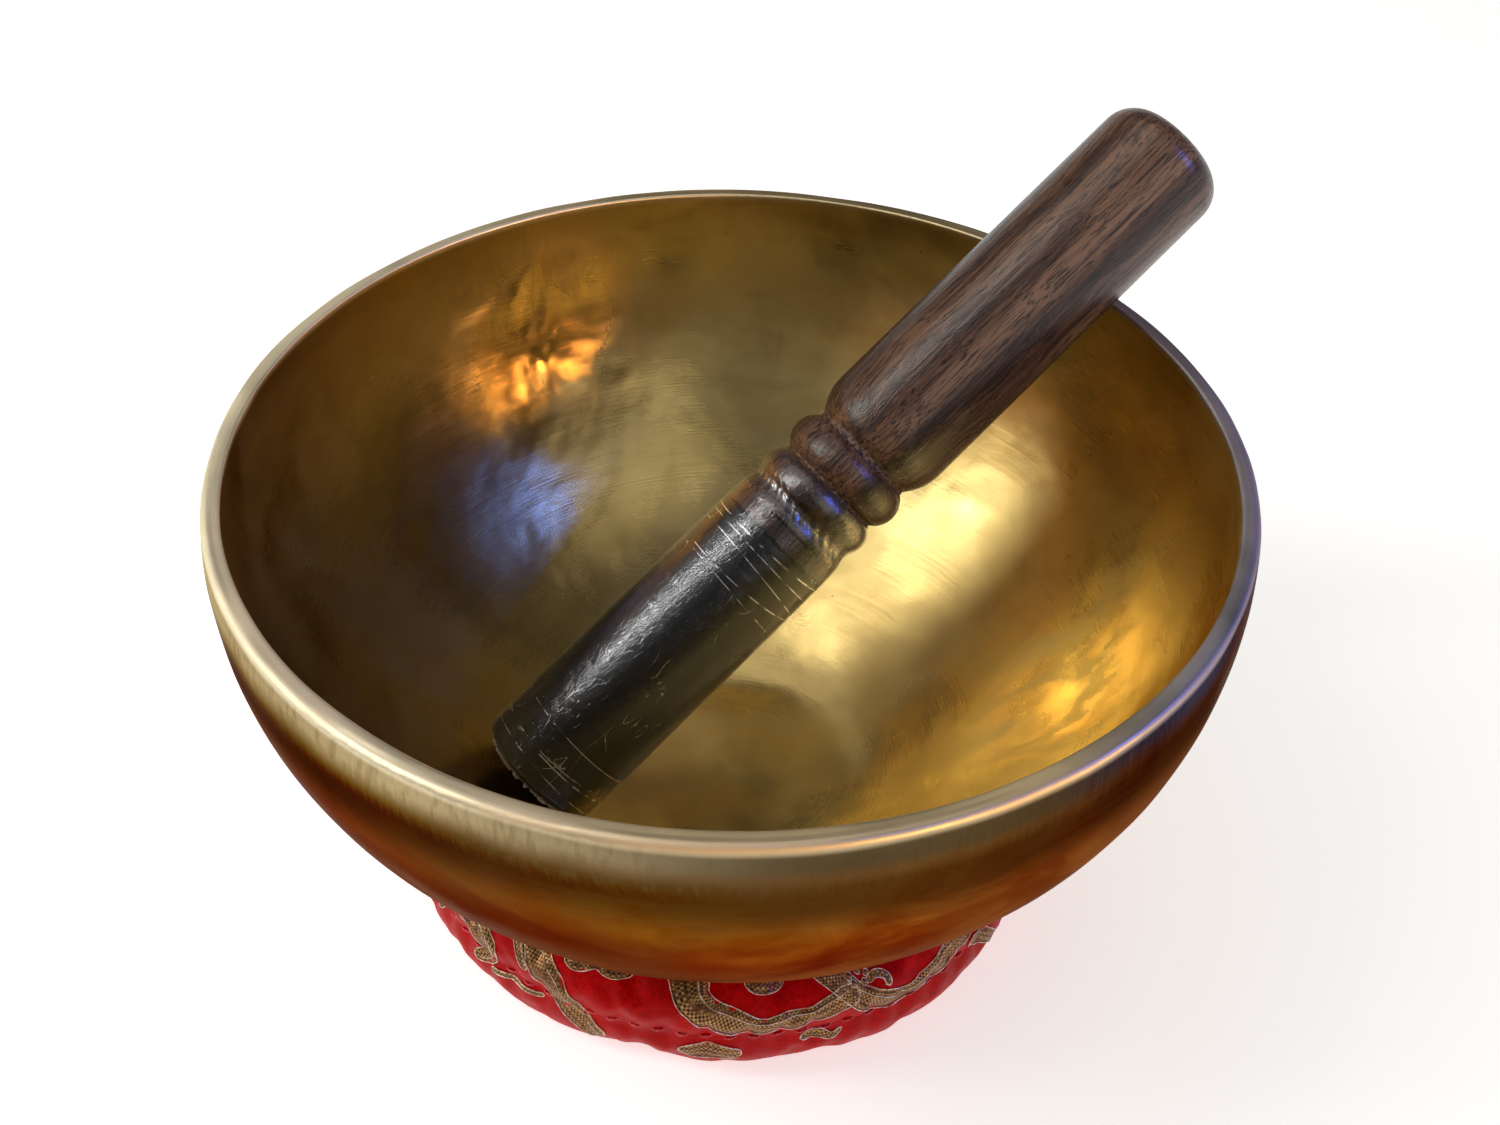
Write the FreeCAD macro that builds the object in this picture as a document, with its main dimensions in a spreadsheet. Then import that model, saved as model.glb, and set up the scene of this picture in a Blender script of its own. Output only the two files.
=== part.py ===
"""A singing bowl on its ring cushion, with the mallet leaning in it, in millimetres.

The origin is the centre of the cushion's flat underside, on the table.  +Z is the
bowl's axis, pointing up, and the mallet leans from the front left of the bowl's
floor over the rim at the back right.
"""
import os

import FreeCAD, Part
import Sketcher
from math import acos, atan2, cos, degrees, hypot, radians, sin, sqrt
from FreeCAD import Placement, Rotation, Vector

# ------------------------------------------------------------------ driving dimensions
# Bowl: a wall of one thickness whose outside is three tangent arcs, knee, body and belly,
# from a small flat base to a mouth that closes in slightly above the belly.
BOWL = {
    "rim_height": 109.0,        # top of the lip above the table
    "base_height": 7.8,         # underside of the bowl above the table
    "base_flat": 25.65,         # radius of the flat base
    "knee_curve": 25.0,
    "body_curve": 123.5,
    "belly_curve": 67.5,
    "belly_radius": 101.3,      # widest outside radius
    "belly_height": 96.2,
    "wall": 3.5,
    "lip_outer_round": 1.5,
    "lip_inner_round": 0.45,
}

# Mallet, along its own axis from the end of the sleeve (0) to the end of the grip.
MALLET = {
    "tip_recess": 0.5,          # how far the wooden tip stops short of the sleeve's end
    "tip_corner": 1.0,
    "core_radius": 13.0,        # wood under the sleeve
    "sleeve_length": 73.7,
    "sleeve_tip_radius": 15.0,
    "sleeve_neck_radius": 14.4,
    "sleeve_round": 1.2,
    "neck_radius": 14.2,
    "neck_curve": 4.0,
    "neck_end": 78.0,
    "groove_radius": 12.2,
    "low_bead_radius": 14.45,
    "low_bead_curve": 5.0,
    "low_bead_centre": 85.8,
    "high_bead_radius": 14.75,
    "high_bead_curve": 5.6,
    "high_bead_centre": 95.1,
    "shoulder_curve": 12.0,
    "shoulder_end": 108.6,
    "grip_low_radius": 15.1,
    "grip_end_radius": 14.6,
    "grip_corner": 6.6,
    "grip_dome": 60.0,
    "mallet_length": 194.6,
    "film_gap": 0.08,           # between the film and what it wraps
    "film_thickness": 0.14,
    "film_hole_radius": 8.9,    # opening left in the gathered end of the film
    "film_hole_proud": 2.5,     # how far the gathered end stands out past the sleeve
    "film_fold_radius": 12.2,
    "film_fold_proud": 1.3,
    "film_crease_radius": 13.2, # where the film dips towards the groove under the low bead
    "film_crease": 81.4,
    "film_end_angle": 48.0,     # how far the film runs over the low bead, past its crest
    "fit_gap": 0.05,
}

# Where the mallet lies: the middle of the sleeve's end, and the way its axis points.
LEAN = {
    "lean_x": -42.22,
    "lean_y": -15.91,
    "lean_height": 26.69,
    "lean_azimuth": 30.7,
    "lean_rise": 35.6,
}

# Ring cushion: a section of arcs, pressed hollow by the bowl on its inner slope.
CUSHION = {
    "seat_gap": 0.3,            # between the bowl and the cushion
    "crown_centre": 66.0,
    "crown_curve": 9.3,
    "inner_roll_centre": 49.6,
    "inner_roll_curve": 5.0,
    "outer_foot_centre": 64.8,
    "outer_foot_curve": 10.8,
    "inner_foot_centre": 54.0,
    "inner_foot_curve": 9.2,
    "cloth": 0.8,
    "stuffing_gap": 0.1,
    "thread_radius": 0.3,
    "outer_stitches": 96,
    "inner_stitches": 56,
    "stitch_share": 0.55,       # part of each stitch's pitch that shows on the outside
}

DRIVING = {**BOWL, **MALLET, **LEAN, **CUSHION}

# ------------------------------------------------------------------ document and sheet
doc = FreeCAD.newDocument("SingingBowl")
sheet = doc.addObject("Spreadsheet::Sheet", "Sizes")


def meeting_point(centre_a, reach_a, centre_b, reach_b, side):
    """The point at reach_a from centre_a and reach_b from centre_b, on one side of their line."""
    across = centre_b[0] - centre_a[0]
    up = centre_b[1] - centre_a[1]
    apart = hypot(across, up)
    along = (reach_a ** 2 - reach_b ** 2 + apart ** 2) / (2 * apart)
    off = side * sqrt(reach_a ** 2 - along ** 2)
    return (
        centre_a[0] + (along * across - off * up) / apart,
        centre_a[1] + (along * up + off * across) / apart,
    )


def bowl_centres(sizes):
    """The centres of the knee, body and belly arcs in the bowl's section."""
    knee = (sizes["base_flat"], sizes["base_height"] + sizes["knee_curve"])
    belly = (sizes["belly_radius"] - sizes["belly_curve"], sizes["belly_height"])
    body = meeting_point(
        knee, sizes["body_curve"] - sizes["knee_curve"],
        belly, sizes["body_curve"] - sizes["belly_curve"], 1,
    )
    return knee, body, belly


KNEE, BODY, BELLY = bowl_centres(DRIVING)
# The cushion's seat follows the bowl's body arc, so its centre goes in the sheet too.
DRIVING["seat_centre_left"] = -BODY[0]
DRIVING["seat_centre_height"] = BODY[1]

for row, (alias, value) in enumerate(DRIVING.items(), start=1):
    sheet.set("A%d" % row, alias.replace("_", " "))
    sheet.set("B%d" % row, repr(round(value, 6)))
    sheet.setAlias("B%d" % row, alias)
doc.recompute()


def size(alias):
    """A driving dimension, as the sheet holds it."""
    return float(getattr(sheet, alias))


# ------------------------------------------------------------------ drawing helpers
START, END, CENTRE = 1, 2, 3
H_AXIS, V_AXIS = -1, -2
ORIGIN = (-1, 1)


def sheet_names(text):
    """A formula in sheet aliases, written the way an expression needs it."""
    words = []
    for word in text.split():
        words.append("Sizes." + word if word in DRIVING else word)
    return " ".join(words)


def plane_of(body, role):
    return next(part for part in body.Origin.OriginFeatures if part.Role == role)


class Section:
    """A closed outline in the body's XZ plane, with its sizes bound to the sheet."""

    def __init__(self, body, name):
        self.sketch = body.newObject("Sketcher::SketchObject", name)
        self.sketch.AttachmentSupport = (plane_of(body, "XZ_Plane"), [""])
        self.sketch.MapMode = "FlatFace"

    def line(self, start, end):
        edge = Part.LineSegment(Vector(start[0], start[1], 0), Vector(end[0], end[1], 0))
        return self.sketch.addGeometry(edge, False)

    def arc(self, centre, radius, first, last):
        """An arc drawn anticlockwise from angle first to angle last, in degrees."""
        circle = Part.Circle(Vector(centre[0], centre[1], 0), Vector(0, 0, 1), radius)
        edge = Part.ArcOfCircle(circle, radians(first), radians(last))
        return self.sketch.addGeometry(edge, False)

    def rule(self, kind, *about):
        return self.sketch.addConstraint(Sketcher.Constraint(kind, *about))

    def join(self, one, one_end, other, other_end, smooth=False):
        self.rule("Tangent" if smooth else "Coincident", one, one_end, other, other_end)

    def bind(self, index, formula):
        self.sketch.setExpression("Constraints[%d]" % index, sheet_names(formula))

    def radius(self, edge, formula):
        value = self.sketch.Geometry[edge].Radius
        self.bind(self.rule("Radius", edge, value), formula)

    def across(self, edge, point, formula):
        value = self.sketch.getPoint(edge, point).x
        self.bind(self.rule("DistanceX", *ORIGIN, edge, point, value), formula)

    def up(self, edge, point, formula):
        value = self.sketch.getPoint(edge, point).y
        self.bind(self.rule("DistanceY", *ORIGIN, edge, point, value), formula)

    def on_axis(self, edge, point):
        self.rule("PointOnObject", edge, point, V_AXIS)


def new_body(label):
    body = doc.addObject("PartDesign::Body", label)
    body.Label = label
    return body


def revolve(body, section, feature="PartDesign::Revolution", turn=360.0):
    """Turn a section about the body's Z axis, adding or cutting."""
    made = body.newObject(feature, section.sketch.Name + "_turned")
    made.Profile = section.sketch
    made.ReferenceAxis = (section.sketch, ["V_Axis"])
    made.Angle = turn
    section.sketch.Visibility = False
    doc.recompute()
    return made


def round_edge(body, base, at, radius_alias, name):
    """Round the circular edge that passes through the point at, given as (radius, height)."""
    wanted = Part.Vertex(Vector(at[0], 0, at[1]))
    edges = base.Shape.Edges
    nearest = min(range(len(edges)), key=lambda i: edges[i].distToShape(wanted)[0])
    fillet = body.newObject("PartDesign::Fillet", name)
    fillet.Base = (base, ["Edge%d" % (nearest + 1)])
    fillet.setExpression("Radius", "Sizes." + radius_alias)
    doc.recompute()
    return fillet


def heading(from_point, to_point):
    """The angle in degrees of the way from one point to another."""
    return degrees(atan2(to_point[1] - from_point[1], to_point[0] - from_point[0]))


# ------------------------------------------------------------------ bowl
def bowl_side(section, inset, formula):
    """One face of the bowl's wall: a flat, then knee, body and belly arcs.  Returns its ends."""
    floor = size("base_height") + inset
    at_knee = heading(BODY, KNEE)
    at_belly = heading(BODY, BELLY)
    belly_curve = size("belly_curve") - inset
    at_rim = degrees(acos(sqrt(1 - ((size("rim_height") - BELLY[1]) / belly_curve) ** 2)))
    flat = section.line((0, floor), (KNEE[0], floor))
    knee = section.arc(KNEE, size("knee_curve") - inset, -90, at_knee)
    body = section.arc(BODY, size("body_curve") - inset, at_knee, at_belly)
    belly = section.arc(BELLY, belly_curve, at_belly, at_rim)
    section.join(flat, END, knee, START, smooth=True)
    section.join(knee, END, body, START, smooth=True)
    section.join(body, END, belly, START, smooth=True)
    section.on_axis(flat, START)
    section.rule("Horizontal", flat)
    section.up(flat, START, "base_height" + formula.replace("-", "+"))
    section.across(knee, CENTRE, "base_flat")
    section.radius(knee, "knee_curve" + formula)
    section.radius(body, "body_curve" + formula)
    section.radius(belly, "belly_curve" + formula)
    section.across(belly, CENTRE, "belly_radius - belly_curve")
    section.up(belly, CENTRE, "belly_height")
    return flat, belly


def make_bowl():
    body = new_body("bowl_shell")
    section = Section(body, "bowl_section")
    outer_flat, outer_belly = bowl_side(section, 0, "")
    inner_flat, inner_belly = bowl_side(section, size("wall"), " - wall")
    outer_lip = section.sketch.getPoint(outer_belly, END)
    inner_lip = section.sketch.getPoint(inner_belly, END)
    lip = section.line((outer_lip.x, outer_lip.y), (inner_lip.x, inner_lip.y))
    section.join(outer_belly, END, lip, START)
    section.join(lip, END, inner_belly, END)
    section.rule("Horizontal", lip)
    section.up(lip, START, "rim_height")
    axis = section.line((0, size("base_height") + size("wall")), (0, size("base_height")))
    section.join(inner_flat, START, axis, START)
    section.join(axis, END, outer_flat, START)
    turned = revolve(body, section)
    rim = size("rim_height")
    outside = round_edge(body, turned, (outer_lip.x, rim), "lip_outer_round", "lip_outside")
    round_edge(body, outside, (inner_lip.x, rim), "lip_inner_round", "lip_inside")
    return body


# ------------------------------------------------------------------ mallet
def lay_mallet_piece(body):
    """Move a piece from the mallet's own axis to where the mallet leans."""
    turn = Rotation(Vector(0, 0, 1), size("lean_azimuth"))
    tip_over = Rotation(Vector(0, 1, 0), 90 - size("lean_rise"))
    at = Vector(size("lean_x"), size("lean_y"), size("lean_height"))
    body.Placement = Placement(at, turn.multiply(tip_over))


def bead(section, name):
    """A turned bead: an arc that starts and ends on the grooves' radius."""
    crest, curve, middle = (size(name + end) for end in ("_radius", "_curve", "_centre"))
    centre = (crest - curve, middle)
    half = degrees(acos((size("groove_radius") - centre[0]) / curve))
    edge = section.arc(centre, curve, -half, half)
    section.across(edge, CENTRE, name + "_radius - " + name + "_curve")
    section.up(edge, CENTRE, name + "_centre")
    section.radius(edge, name + "_curve")
    return edge


def groove(section, lower, lower_end, upper, upper_end):
    """The narrow floor of a groove between two turned shapes."""
    low = section.sketch.getPoint(lower, lower_end)
    high = section.sketch.getPoint(upper, upper_end)
    edge = section.line((low.x, low.y), (high.x, high.y))
    section.join(lower, lower_end, edge, START)
    section.join(edge, END, upper, upper_end)
    section.rule("Vertical", edge)
    section.across(edge, START, "groove_radius")
    return edge


def make_handle():
    """Turned wood: tip, core under the sleeve, neck, two beads between grooves, and grip."""
    body = new_body("mallet_handle")
    section = Section(body, "handle_section")
    core, corner, recess = size("core_radius"), size("tip_corner"), size("tip_recess")
    end_face = section.line((0, recess), (core - corner, recess))
    tip = section.arc((core - corner, corner + recess), corner, -90, 0)
    sleeve_end = size("sleeve_length")
    side = section.line((core, corner + recess), (core, sleeve_end))
    step = section.line((core, sleeve_end), (size("neck_radius"), sleeve_end))
    neck_end = size("neck_end")
    neck = section.line((size("neck_radius"), sleeve_end), (size("neck_radius"), neck_end))
    curve = size("neck_curve")
    neck_centre = (size("neck_radius") - curve, neck_end)
    falls = degrees(acos((size("groove_radius") - neck_centre[0]) / curve))
    neck_round = section.arc(neck_centre, curve, 0, falls)
    low_bead = bead(section, "low_bead")
    high_bead = bead(section, "high_bead")
    shoulder_centre = (size("grip_low_radius") - size("shoulder_curve"), size("shoulder_end"))
    rises = degrees(acos((size("groove_radius") - shoulder_centre[0]) / size("shoulder_curve")))
    shoulder = section.arc(shoulder_centre, size("shoulder_curve"), -rises, 0)
    length, round_off = size("mallet_length"), size("grip_corner")
    end_radius, dome = size("grip_end_radius"), size("grip_dome")
    inset = end_radius - round_off
    at_dome = degrees(acos(inset / (dome - round_off)))
    corner_height = length - dome + (dome - round_off) * sin(radians(at_dome))
    grip = section.line(
        (size("grip_low_radius"), size("shoulder_end")), (end_radius, corner_height))
    grip_round = section.arc((inset, corner_height), round_off, 0, at_dome)
    crown = section.arc((0, length - dome), dome, at_dome, 90)
    axis = section.line((0, length), (0, recess))

    section.join(end_face, END, tip, START, smooth=True)
    section.join(tip, END, side, START, smooth=True)
    section.join(side, END, step, START)
    section.join(step, END, neck, START)
    section.join(neck, END, neck_round, START, smooth=True)
    groove(section, neck_round, END, low_bead, START)
    groove(section, low_bead, END, high_bead, START)
    groove(section, high_bead, END, shoulder, START)
    section.join(shoulder, END, grip, START, smooth=True)
    section.join(grip, END, grip_round, START, smooth=True)
    section.join(grip_round, END, crown, START, smooth=True)
    section.join(crown, END, axis, START)
    section.join(axis, END, end_face, START)

    section.rule("Horizontal", end_face)
    section.rule("Horizontal", step)
    section.rule("Vertical", side)
    section.rule("Vertical", neck)
    section.rule("Vertical", axis)
    section.on_axis(axis, END)
    section.on_axis(crown, CENTRE)
    section.up(axis, END, "tip_recess")
    section.radius(tip, "tip_corner")
    section.across(side, END, "core_radius")
    section.up(side, END, "sleeve_length")
    section.across(neck, START, "neck_radius")
    section.up(neck_round, CENTRE, "neck_end")
    section.radius(neck_round, "neck_curve")
    section.radius(shoulder, "shoulder_curve")
    section.across(shoulder, CENTRE, "grip_low_radius - shoulder_curve")
    section.up(shoulder, CENTRE, "shoulder_end")
    section.across(grip, END, "grip_end_radius")
    section.radius(grip_round, "grip_corner")
    section.radius(crown, "grip_dome")
    section.up(crown, END, "mallet_length")
    revolve(body, section)
    lay_mallet_piece(body)
    return body


def make_sleeve():
    """The leather tube round the striking end, slightly wider at the tip."""
    body = new_body("leather_sleeve")
    section = Section(body, "sleeve_section")
    inner = size("core_radius") + size("fit_gap")
    top = size("sleeve_length") - size("fit_gap")
    tip_radius, neck_radius = size("sleeve_tip_radius"), size("sleeve_neck_radius")
    lower = section.line((inner, 0), (tip_radius, 0))
    outside = section.line((tip_radius, 0), (neck_radius, top))
    upper = section.line((neck_radius, top), (inner, top))
    bore = section.line((inner, top), (inner, 0))
    section.join(lower, END, outside, START)
    section.join(outside, END, upper, START)
    section.join(upper, END, bore, START)
    section.join(bore, END, lower, START)
    section.rule("PointOnObject", lower, START, H_AXIS)
    section.rule("Horizontal", lower)
    section.rule("Horizontal", upper)
    section.rule("Vertical", bore)
    section.across(bore, END, "core_radius + fit_gap")
    section.across(outside, START, "sleeve_tip_radius")
    section.across(outside, END, "sleeve_neck_radius")
    section.up(bore, START, "sleeve_length - fit_gap")
    turned = revolve(body, section)
    round_edge(body, turned, (tip_radius, 0), "sleeve_round", "sleeve_end_round")
    lay_mallet_piece(body)
    return body


def around(centre, reach, angle):
    """The point at reach from centre, at an angle in degrees."""
    return (centre[0] + reach * cos(radians(angle)), centre[1] + reach * sin(radians(angle)))


def film_path():
    """The middle of the film's thickness, from its gathered end to the groove between the beads."""
    off = size("film_gap") + size("film_thickness") / 2
    roll = size("sleeve_round")
    tip = (size("sleeve_tip_radius") - roll, roll)
    neck = (size("neck_radius") - size("neck_curve"), size("neck_end"))
    bead_middle = (size("low_bead_radius") - size("low_bead_curve"), size("low_bead_centre"))
    bead_reach = size("low_bead_curve") + off
    neck_reach = size("neck_curve") + off
    points = [
        (size("film_hole_radius"), -size("film_hole_proud")),
        (size("film_fold_radius"), -size("film_fold_proud")),
        around(tip, roll + off, -90),
        around(tip, roll + off, 0),
        (size("sleeve_neck_radius") + off, size("sleeve_length")),
        around(neck, neck_reach, 0),
        around(neck, neck_reach, 30),
        (size("film_crease_radius"), size("film_crease")),
        around(bead_middle, bead_reach, -38),
        around(bead_middle, bead_reach, size("film_end_angle")),
    ]
    places = [Vector(point[0], 0, point[1]) for point in points]

    def straight(first):
        return Part.LineSegment(places[first], places[first + 1]).toShape()

    def bent(first, centre, radius):
        middle = (places[first] + places[first + 1]) * 0.5
        away = (middle - Vector(centre[0], 0, centre[1])).normalize()
        through = Vector(centre[0], 0, centre[1]) + away * radius
        return Part.Arc(places[first], through, places[first + 1]).toShape()

    return Part.Wire([
        straight(0),
        straight(1),
        bent(2, tip, roll + off),
        straight(3),
        straight(4),
        bent(5, neck, neck_reach),
        straight(6),
        straight(7),
        bent(8, bead_middle, bead_reach),
    ])


def make_film():
    """A clear film drawn tight over the sleeve, the neck and the low bead."""
    half = size("film_thickness") / 2
    path = film_path()
    outer = path.makeOffset2D(half, 0, False, True)
    inner = path.makeOffset2D(-half, 0, False, True)
    ends = []
    for which in (0, -1):
        one = outer.OrderedVertexes[which].Point
        other = min((v.Point for v in (inner.OrderedVertexes[0], inner.OrderedVertexes[-1])),
                    key=lambda place: place.distanceToPoint(one))
        ends.append(Part.LineSegment(one, other).toShape())
    outline = Part.Wire(Part.sortEdges(outer.Edges + inner.Edges + ends)[0])
    skin = Part.Face(outline).revolve(Vector(0, 0, 0), Vector(0, 0, 1), 360)
    film = doc.addObject("Part::Feature", "shrink_film")
    film.Label = "shrink_film"
    film.Shape = Part.makeSolid(skin) if skin.ShapeType != "Solid" else skin
    lay_mallet_piece(film)
    return film


# ------------------------------------------------------------------ ring cushion
class RingSection:
    """The cushion's section, or the same section drawn smaller all round by an inset."""

    def __init__(self, inset):
        self.inset = inset
        self.seat = (-size("seat_centre_left"), size("seat_centre_height"))
        self.seat_reach = size("body_curve") + size("seat_gap") + inset
        self.crown = self.roll_on_seat("crown")
        self.inner_roll = self.roll_on_seat("inner_roll")
        self.outer_foot = self.roll_on_floor("outer_foot")
        self.inner_foot = self.roll_on_floor("inner_foot")
        self.outer_seam = self.crossing(self.crown, self.outer_foot, -1)
        self.inner_seam = self.crossing(self.inner_roll, self.inner_foot, 1)

    def roll_on_seat(self, name):
        """(centre, radius) of an arc that touches the hollow pressed by the bowl."""
        radius = size(name + "_curve") - self.inset
        across = size(name + "_centre")
        reach = self.seat_reach + radius
        drop = sqrt(reach ** 2 - (across - self.seat[0]) ** 2)
        return (across, self.seat[1] - drop), radius

    def roll_on_floor(self, name):
        radius = size(name + "_curve") - self.inset
        return (size(name + "_centre"), radius + self.inset), radius

    @staticmethod
    def crossing(upper, lower, side):
        return meeting_point(upper[0], upper[1], lower[0], lower[1], -side)


def draw_upper(section, ring, inset_formula):
    """The upper half of the ring's outline: outer bulge, seat and inner roll."""
    crown_centre, crown_radius = ring.crown
    roll_centre, roll_radius = ring.inner_roll
    grows = inset_formula.replace("-", "+")
    crown_turn = heading(crown_centre, ring.seat)
    crown = section.arc(crown_centre, crown_radius, heading(crown_centre, ring.outer_seam), crown_turn)
    seat = section.arc(
        ring.seat, ring.seat_reach, heading(ring.seat, roll_centre), heading(ring.seat, crown_centre))
    inner_end = heading(roll_centre, ring.inner_seam)
    roll = section.arc(
        roll_centre, roll_radius, heading(roll_centre, ring.seat), inner_end % 360)
    section.join(crown, END, seat, END, smooth=True)
    section.join(seat, START, roll, START, smooth=True)
    section.radius(crown, "crown_curve" + inset_formula)
    section.across(crown, CENTRE, "crown_centre")
    section.radius(roll, "inner_roll_curve" + inset_formula)
    section.across(roll, CENTRE, "inner_roll_centre")
    section.radius(seat, "body_curve + seat_gap" + grows)
    section.across(seat, CENTRE, "0 - seat_centre_left")
    section.up(seat, CENTRE, "seat_centre_height")
    return (crown, START), (roll, END)


def draw_lower(section, ring, inset_formula):
    """The lower half: outer foot, the flat that rests on the table, and inner foot."""
    outer_centre, outer_radius = ring.outer_foot
    inner_centre, inner_radius = ring.inner_foot
    rise = ring.inset
    outer = section.arc(
        outer_centre, outer_radius, -90, heading(outer_centre, ring.outer_seam))
    flat = section.line((inner_centre[0], rise), (outer_centre[0], rise))
    inner = section.arc(
        inner_centre, inner_radius, heading(inner_centre, ring.inner_seam) % 360, 270)
    section.join(flat, END, outer, START, smooth=True)
    section.join(inner, END, flat, START, smooth=True)
    section.rule("Horizontal", flat)
    for edge, name in ((outer, "outer_foot"), (inner, "inner_foot")):
        section.radius(edge, name + "_curve" + inset_formula)
        section.across(edge, CENTRE, name + "_centre")
    if inset_formula:
        section.up(flat, START, "0" + inset_formula.replace("-", "+"))
    else:
        section.rule("PointOnObject", flat, START, H_AXIS)
    return (outer, END), (inner, START)


def ring_outline(body, name, inset, inset_formula, halves):
    """Draw the whole ring, or one half closed by a straight line from seam to seam."""
    section = Section(body, name)
    ring = RingSection(inset)
    drawn = [half(section, ring, inset_formula) for half in halves]
    if len(drawn) == 2:
        for one, other in zip(*drawn):
            section.join(*one, *other)
        return section
    (outer_edge, outer_point), (inner_edge, inner_point) = drawn[0]
    whole = RingSection(inset)
    parting = section.line(whole.outer_seam, whole.inner_seam)
    section.join(outer_edge, outer_point, parting, START)
    section.join(inner_edge, inner_point, parting, END)
    section.up(parting, START, "outer_seam_height")
    section.up(parting, END, "inner_seam_height")
    return section


def make_cover(label, half):
    """One brocade panel: half of the ring, hollowed to the cloth's thickness."""
    body = new_body(label)
    revolve(body, ring_outline(body, label + "_outside", 0.0, "", [half]))
    hollow = ring_outline(body, label + "_inside", size("cloth"), " - cloth", [draw_upper, draw_lower])
    revolve(body, hollow, "PartDesign::Groove")
    return body


def make_stuffing():
    body = new_body("cushion_stuffing")
    inset = size("cloth") + size("stuffing_gap")
    revolve(body, ring_outline(
        body, "stuffing_section", inset, " - cloth - stuffing_gap", [draw_upper, draw_lower]))
    return body


def make_seam(label, seam, outward, count_alias):
    """Slip stitches round a seam: short bent rods of thread, one solid each."""
    body = new_body(label)
    body.AllowCompound = True
    section = Section(body, label + "_section")
    proud = outward * (size("thread_radius") + size("fit_gap"))
    circle = Part.Circle(Vector(seam[0] + proud, seam[1], 0), Vector(0, 0, 1), size("thread_radius"))
    edge = section.sketch.addGeometry(circle, False)
    section.radius(edge, "thread_radius")
    side = label.split("_")[0]
    sign = " + " if outward > 0 else " - "
    section.across(edge, CENTRE, side + "_seam_radius" + sign + "( thread_radius + fit_gap )")
    section.up(edge, CENTRE, side + "_seam_height")
    count = int(size(count_alias))
    first = revolve(body, section, turn=360.0 / count * size("stitch_share"))
    pattern = body.newObject("PartDesign::PolarPattern", label + "_round")
    pattern.Originals = [first]
    pattern.Axis = (section.sketch, ["V_Axis"])
    pattern.Angle = 360.0
    pattern.setExpression("Occurrences", "Sizes." + count_alias)
    body.Tip = pattern
    doc.recompute()
    return body


def add_seams_to_sheet():
    """The seams lie where the upper and lower arcs cross."""
    ring = RingSection(0.0)
    row = len(DRIVING) + 1
    for side, place in (("outer", ring.outer_seam), ("inner", ring.inner_seam)):
        for word, value in (("radius", place[0]), ("height", place[1])):
            alias = "%s_seam_%s" % (side, word)
            DRIVING[alias] = value
            sheet.set("A%d" % row, alias.replace("_", " "))
            sheet.set("B%d" % row, repr(round(value, 6)))
            sheet.setAlias("B%d" % row, alias)
            row += 1
    doc.recompute()
    return ring


def main():
    ring = add_seams_to_sheet()
    pieces = [
        make_bowl(),
        make_handle(),
        make_sleeve(),
        make_film(),
        make_cover("cushion_cover_upper", draw_upper),
        make_cover("cushion_cover_lower", draw_lower),
        make_stuffing(),
        make_seam("outer_seam_thread", ring.outer_seam, 1, "outer_stitches"),
        make_seam("inner_seam_thread", ring.inner_seam, -1, "inner_stitches"),
    ]
    doc.recompute()
    for thing in doc.Objects:
        if "Invalid" in thing.State or "Error" in thing.State:
            raise RuntimeError("%s failed: %s" % (thing.Name, thing.State))
    for piece in pieces:
        if piece.Shape.isNull() or not piece.Shape.isValid() or not piece.Shape.Solids:
            raise RuntimeError("%s has no valid solid" % piece.Label)
    os.makedirs("parts", exist_ok=True)
    for piece in pieces:
        piece.Shape.exportStep("parts/%s.step" % piece.Label)
        box = piece.Shape.BoundBox
        print("%-22s %4d solids %10.1f mm3  z %.2f to %.2f" % (
            piece.Label, len(piece.Shape.Solids), piece.Shape.Volume, box.ZMin, box.ZMax))


main()
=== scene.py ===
from math import acos, asin, atan2, cos, degrees as in_degrees, dist, hypot, pi, radians, sin, sqrt

import bmesh
import bpy
import numpy as np
from mathutils import Matrix, Vector


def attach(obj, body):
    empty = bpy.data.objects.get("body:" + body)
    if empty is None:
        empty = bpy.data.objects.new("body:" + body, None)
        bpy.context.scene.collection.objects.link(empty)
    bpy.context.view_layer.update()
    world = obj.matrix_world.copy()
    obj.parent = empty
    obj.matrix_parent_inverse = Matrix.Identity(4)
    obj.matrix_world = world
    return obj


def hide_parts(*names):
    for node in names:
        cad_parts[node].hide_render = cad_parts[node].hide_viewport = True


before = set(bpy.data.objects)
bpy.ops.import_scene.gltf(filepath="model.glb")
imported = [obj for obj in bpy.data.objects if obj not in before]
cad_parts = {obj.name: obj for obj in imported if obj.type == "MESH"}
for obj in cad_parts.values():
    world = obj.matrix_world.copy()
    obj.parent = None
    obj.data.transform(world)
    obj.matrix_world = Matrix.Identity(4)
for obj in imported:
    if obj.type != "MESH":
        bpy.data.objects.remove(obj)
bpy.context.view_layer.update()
MM = 0.001
TURN = 2 * pi
RNG = np.random.default_rng(7)

# ------------------------ sizes, as in part.py (mm)
RIM_HEIGHT = 109.0
BASE_HEIGHT = 7.8
WALL = 3.5
KNEE = (25.65, BASE_HEIGHT + 25.0, 25.0)  # centre radius, centre height, curve
BODY = (-15.83, 122.14, 123.5)
BELLY = (33.8, 96.2, 67.5)
LIP_OUTER_ROUND = 1.5
LIP_INNER_ROUND = 0.5

LEAN_AT = Vector((-42.22, -15.91, 26.69)) * MM
LEAN_AZIMUTH = radians(30.7)
LEAN_RISE = radians(35.6)

CROWN = (66.0, 9.3)  # centre radius, curve
INNER_ROLL = (49.6, 5.0)
OUTER_FOOT = (64.8, 10.8)
INNER_FOOT = (54.0, 9.2)
SEAT_GAP = 0.3

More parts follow.
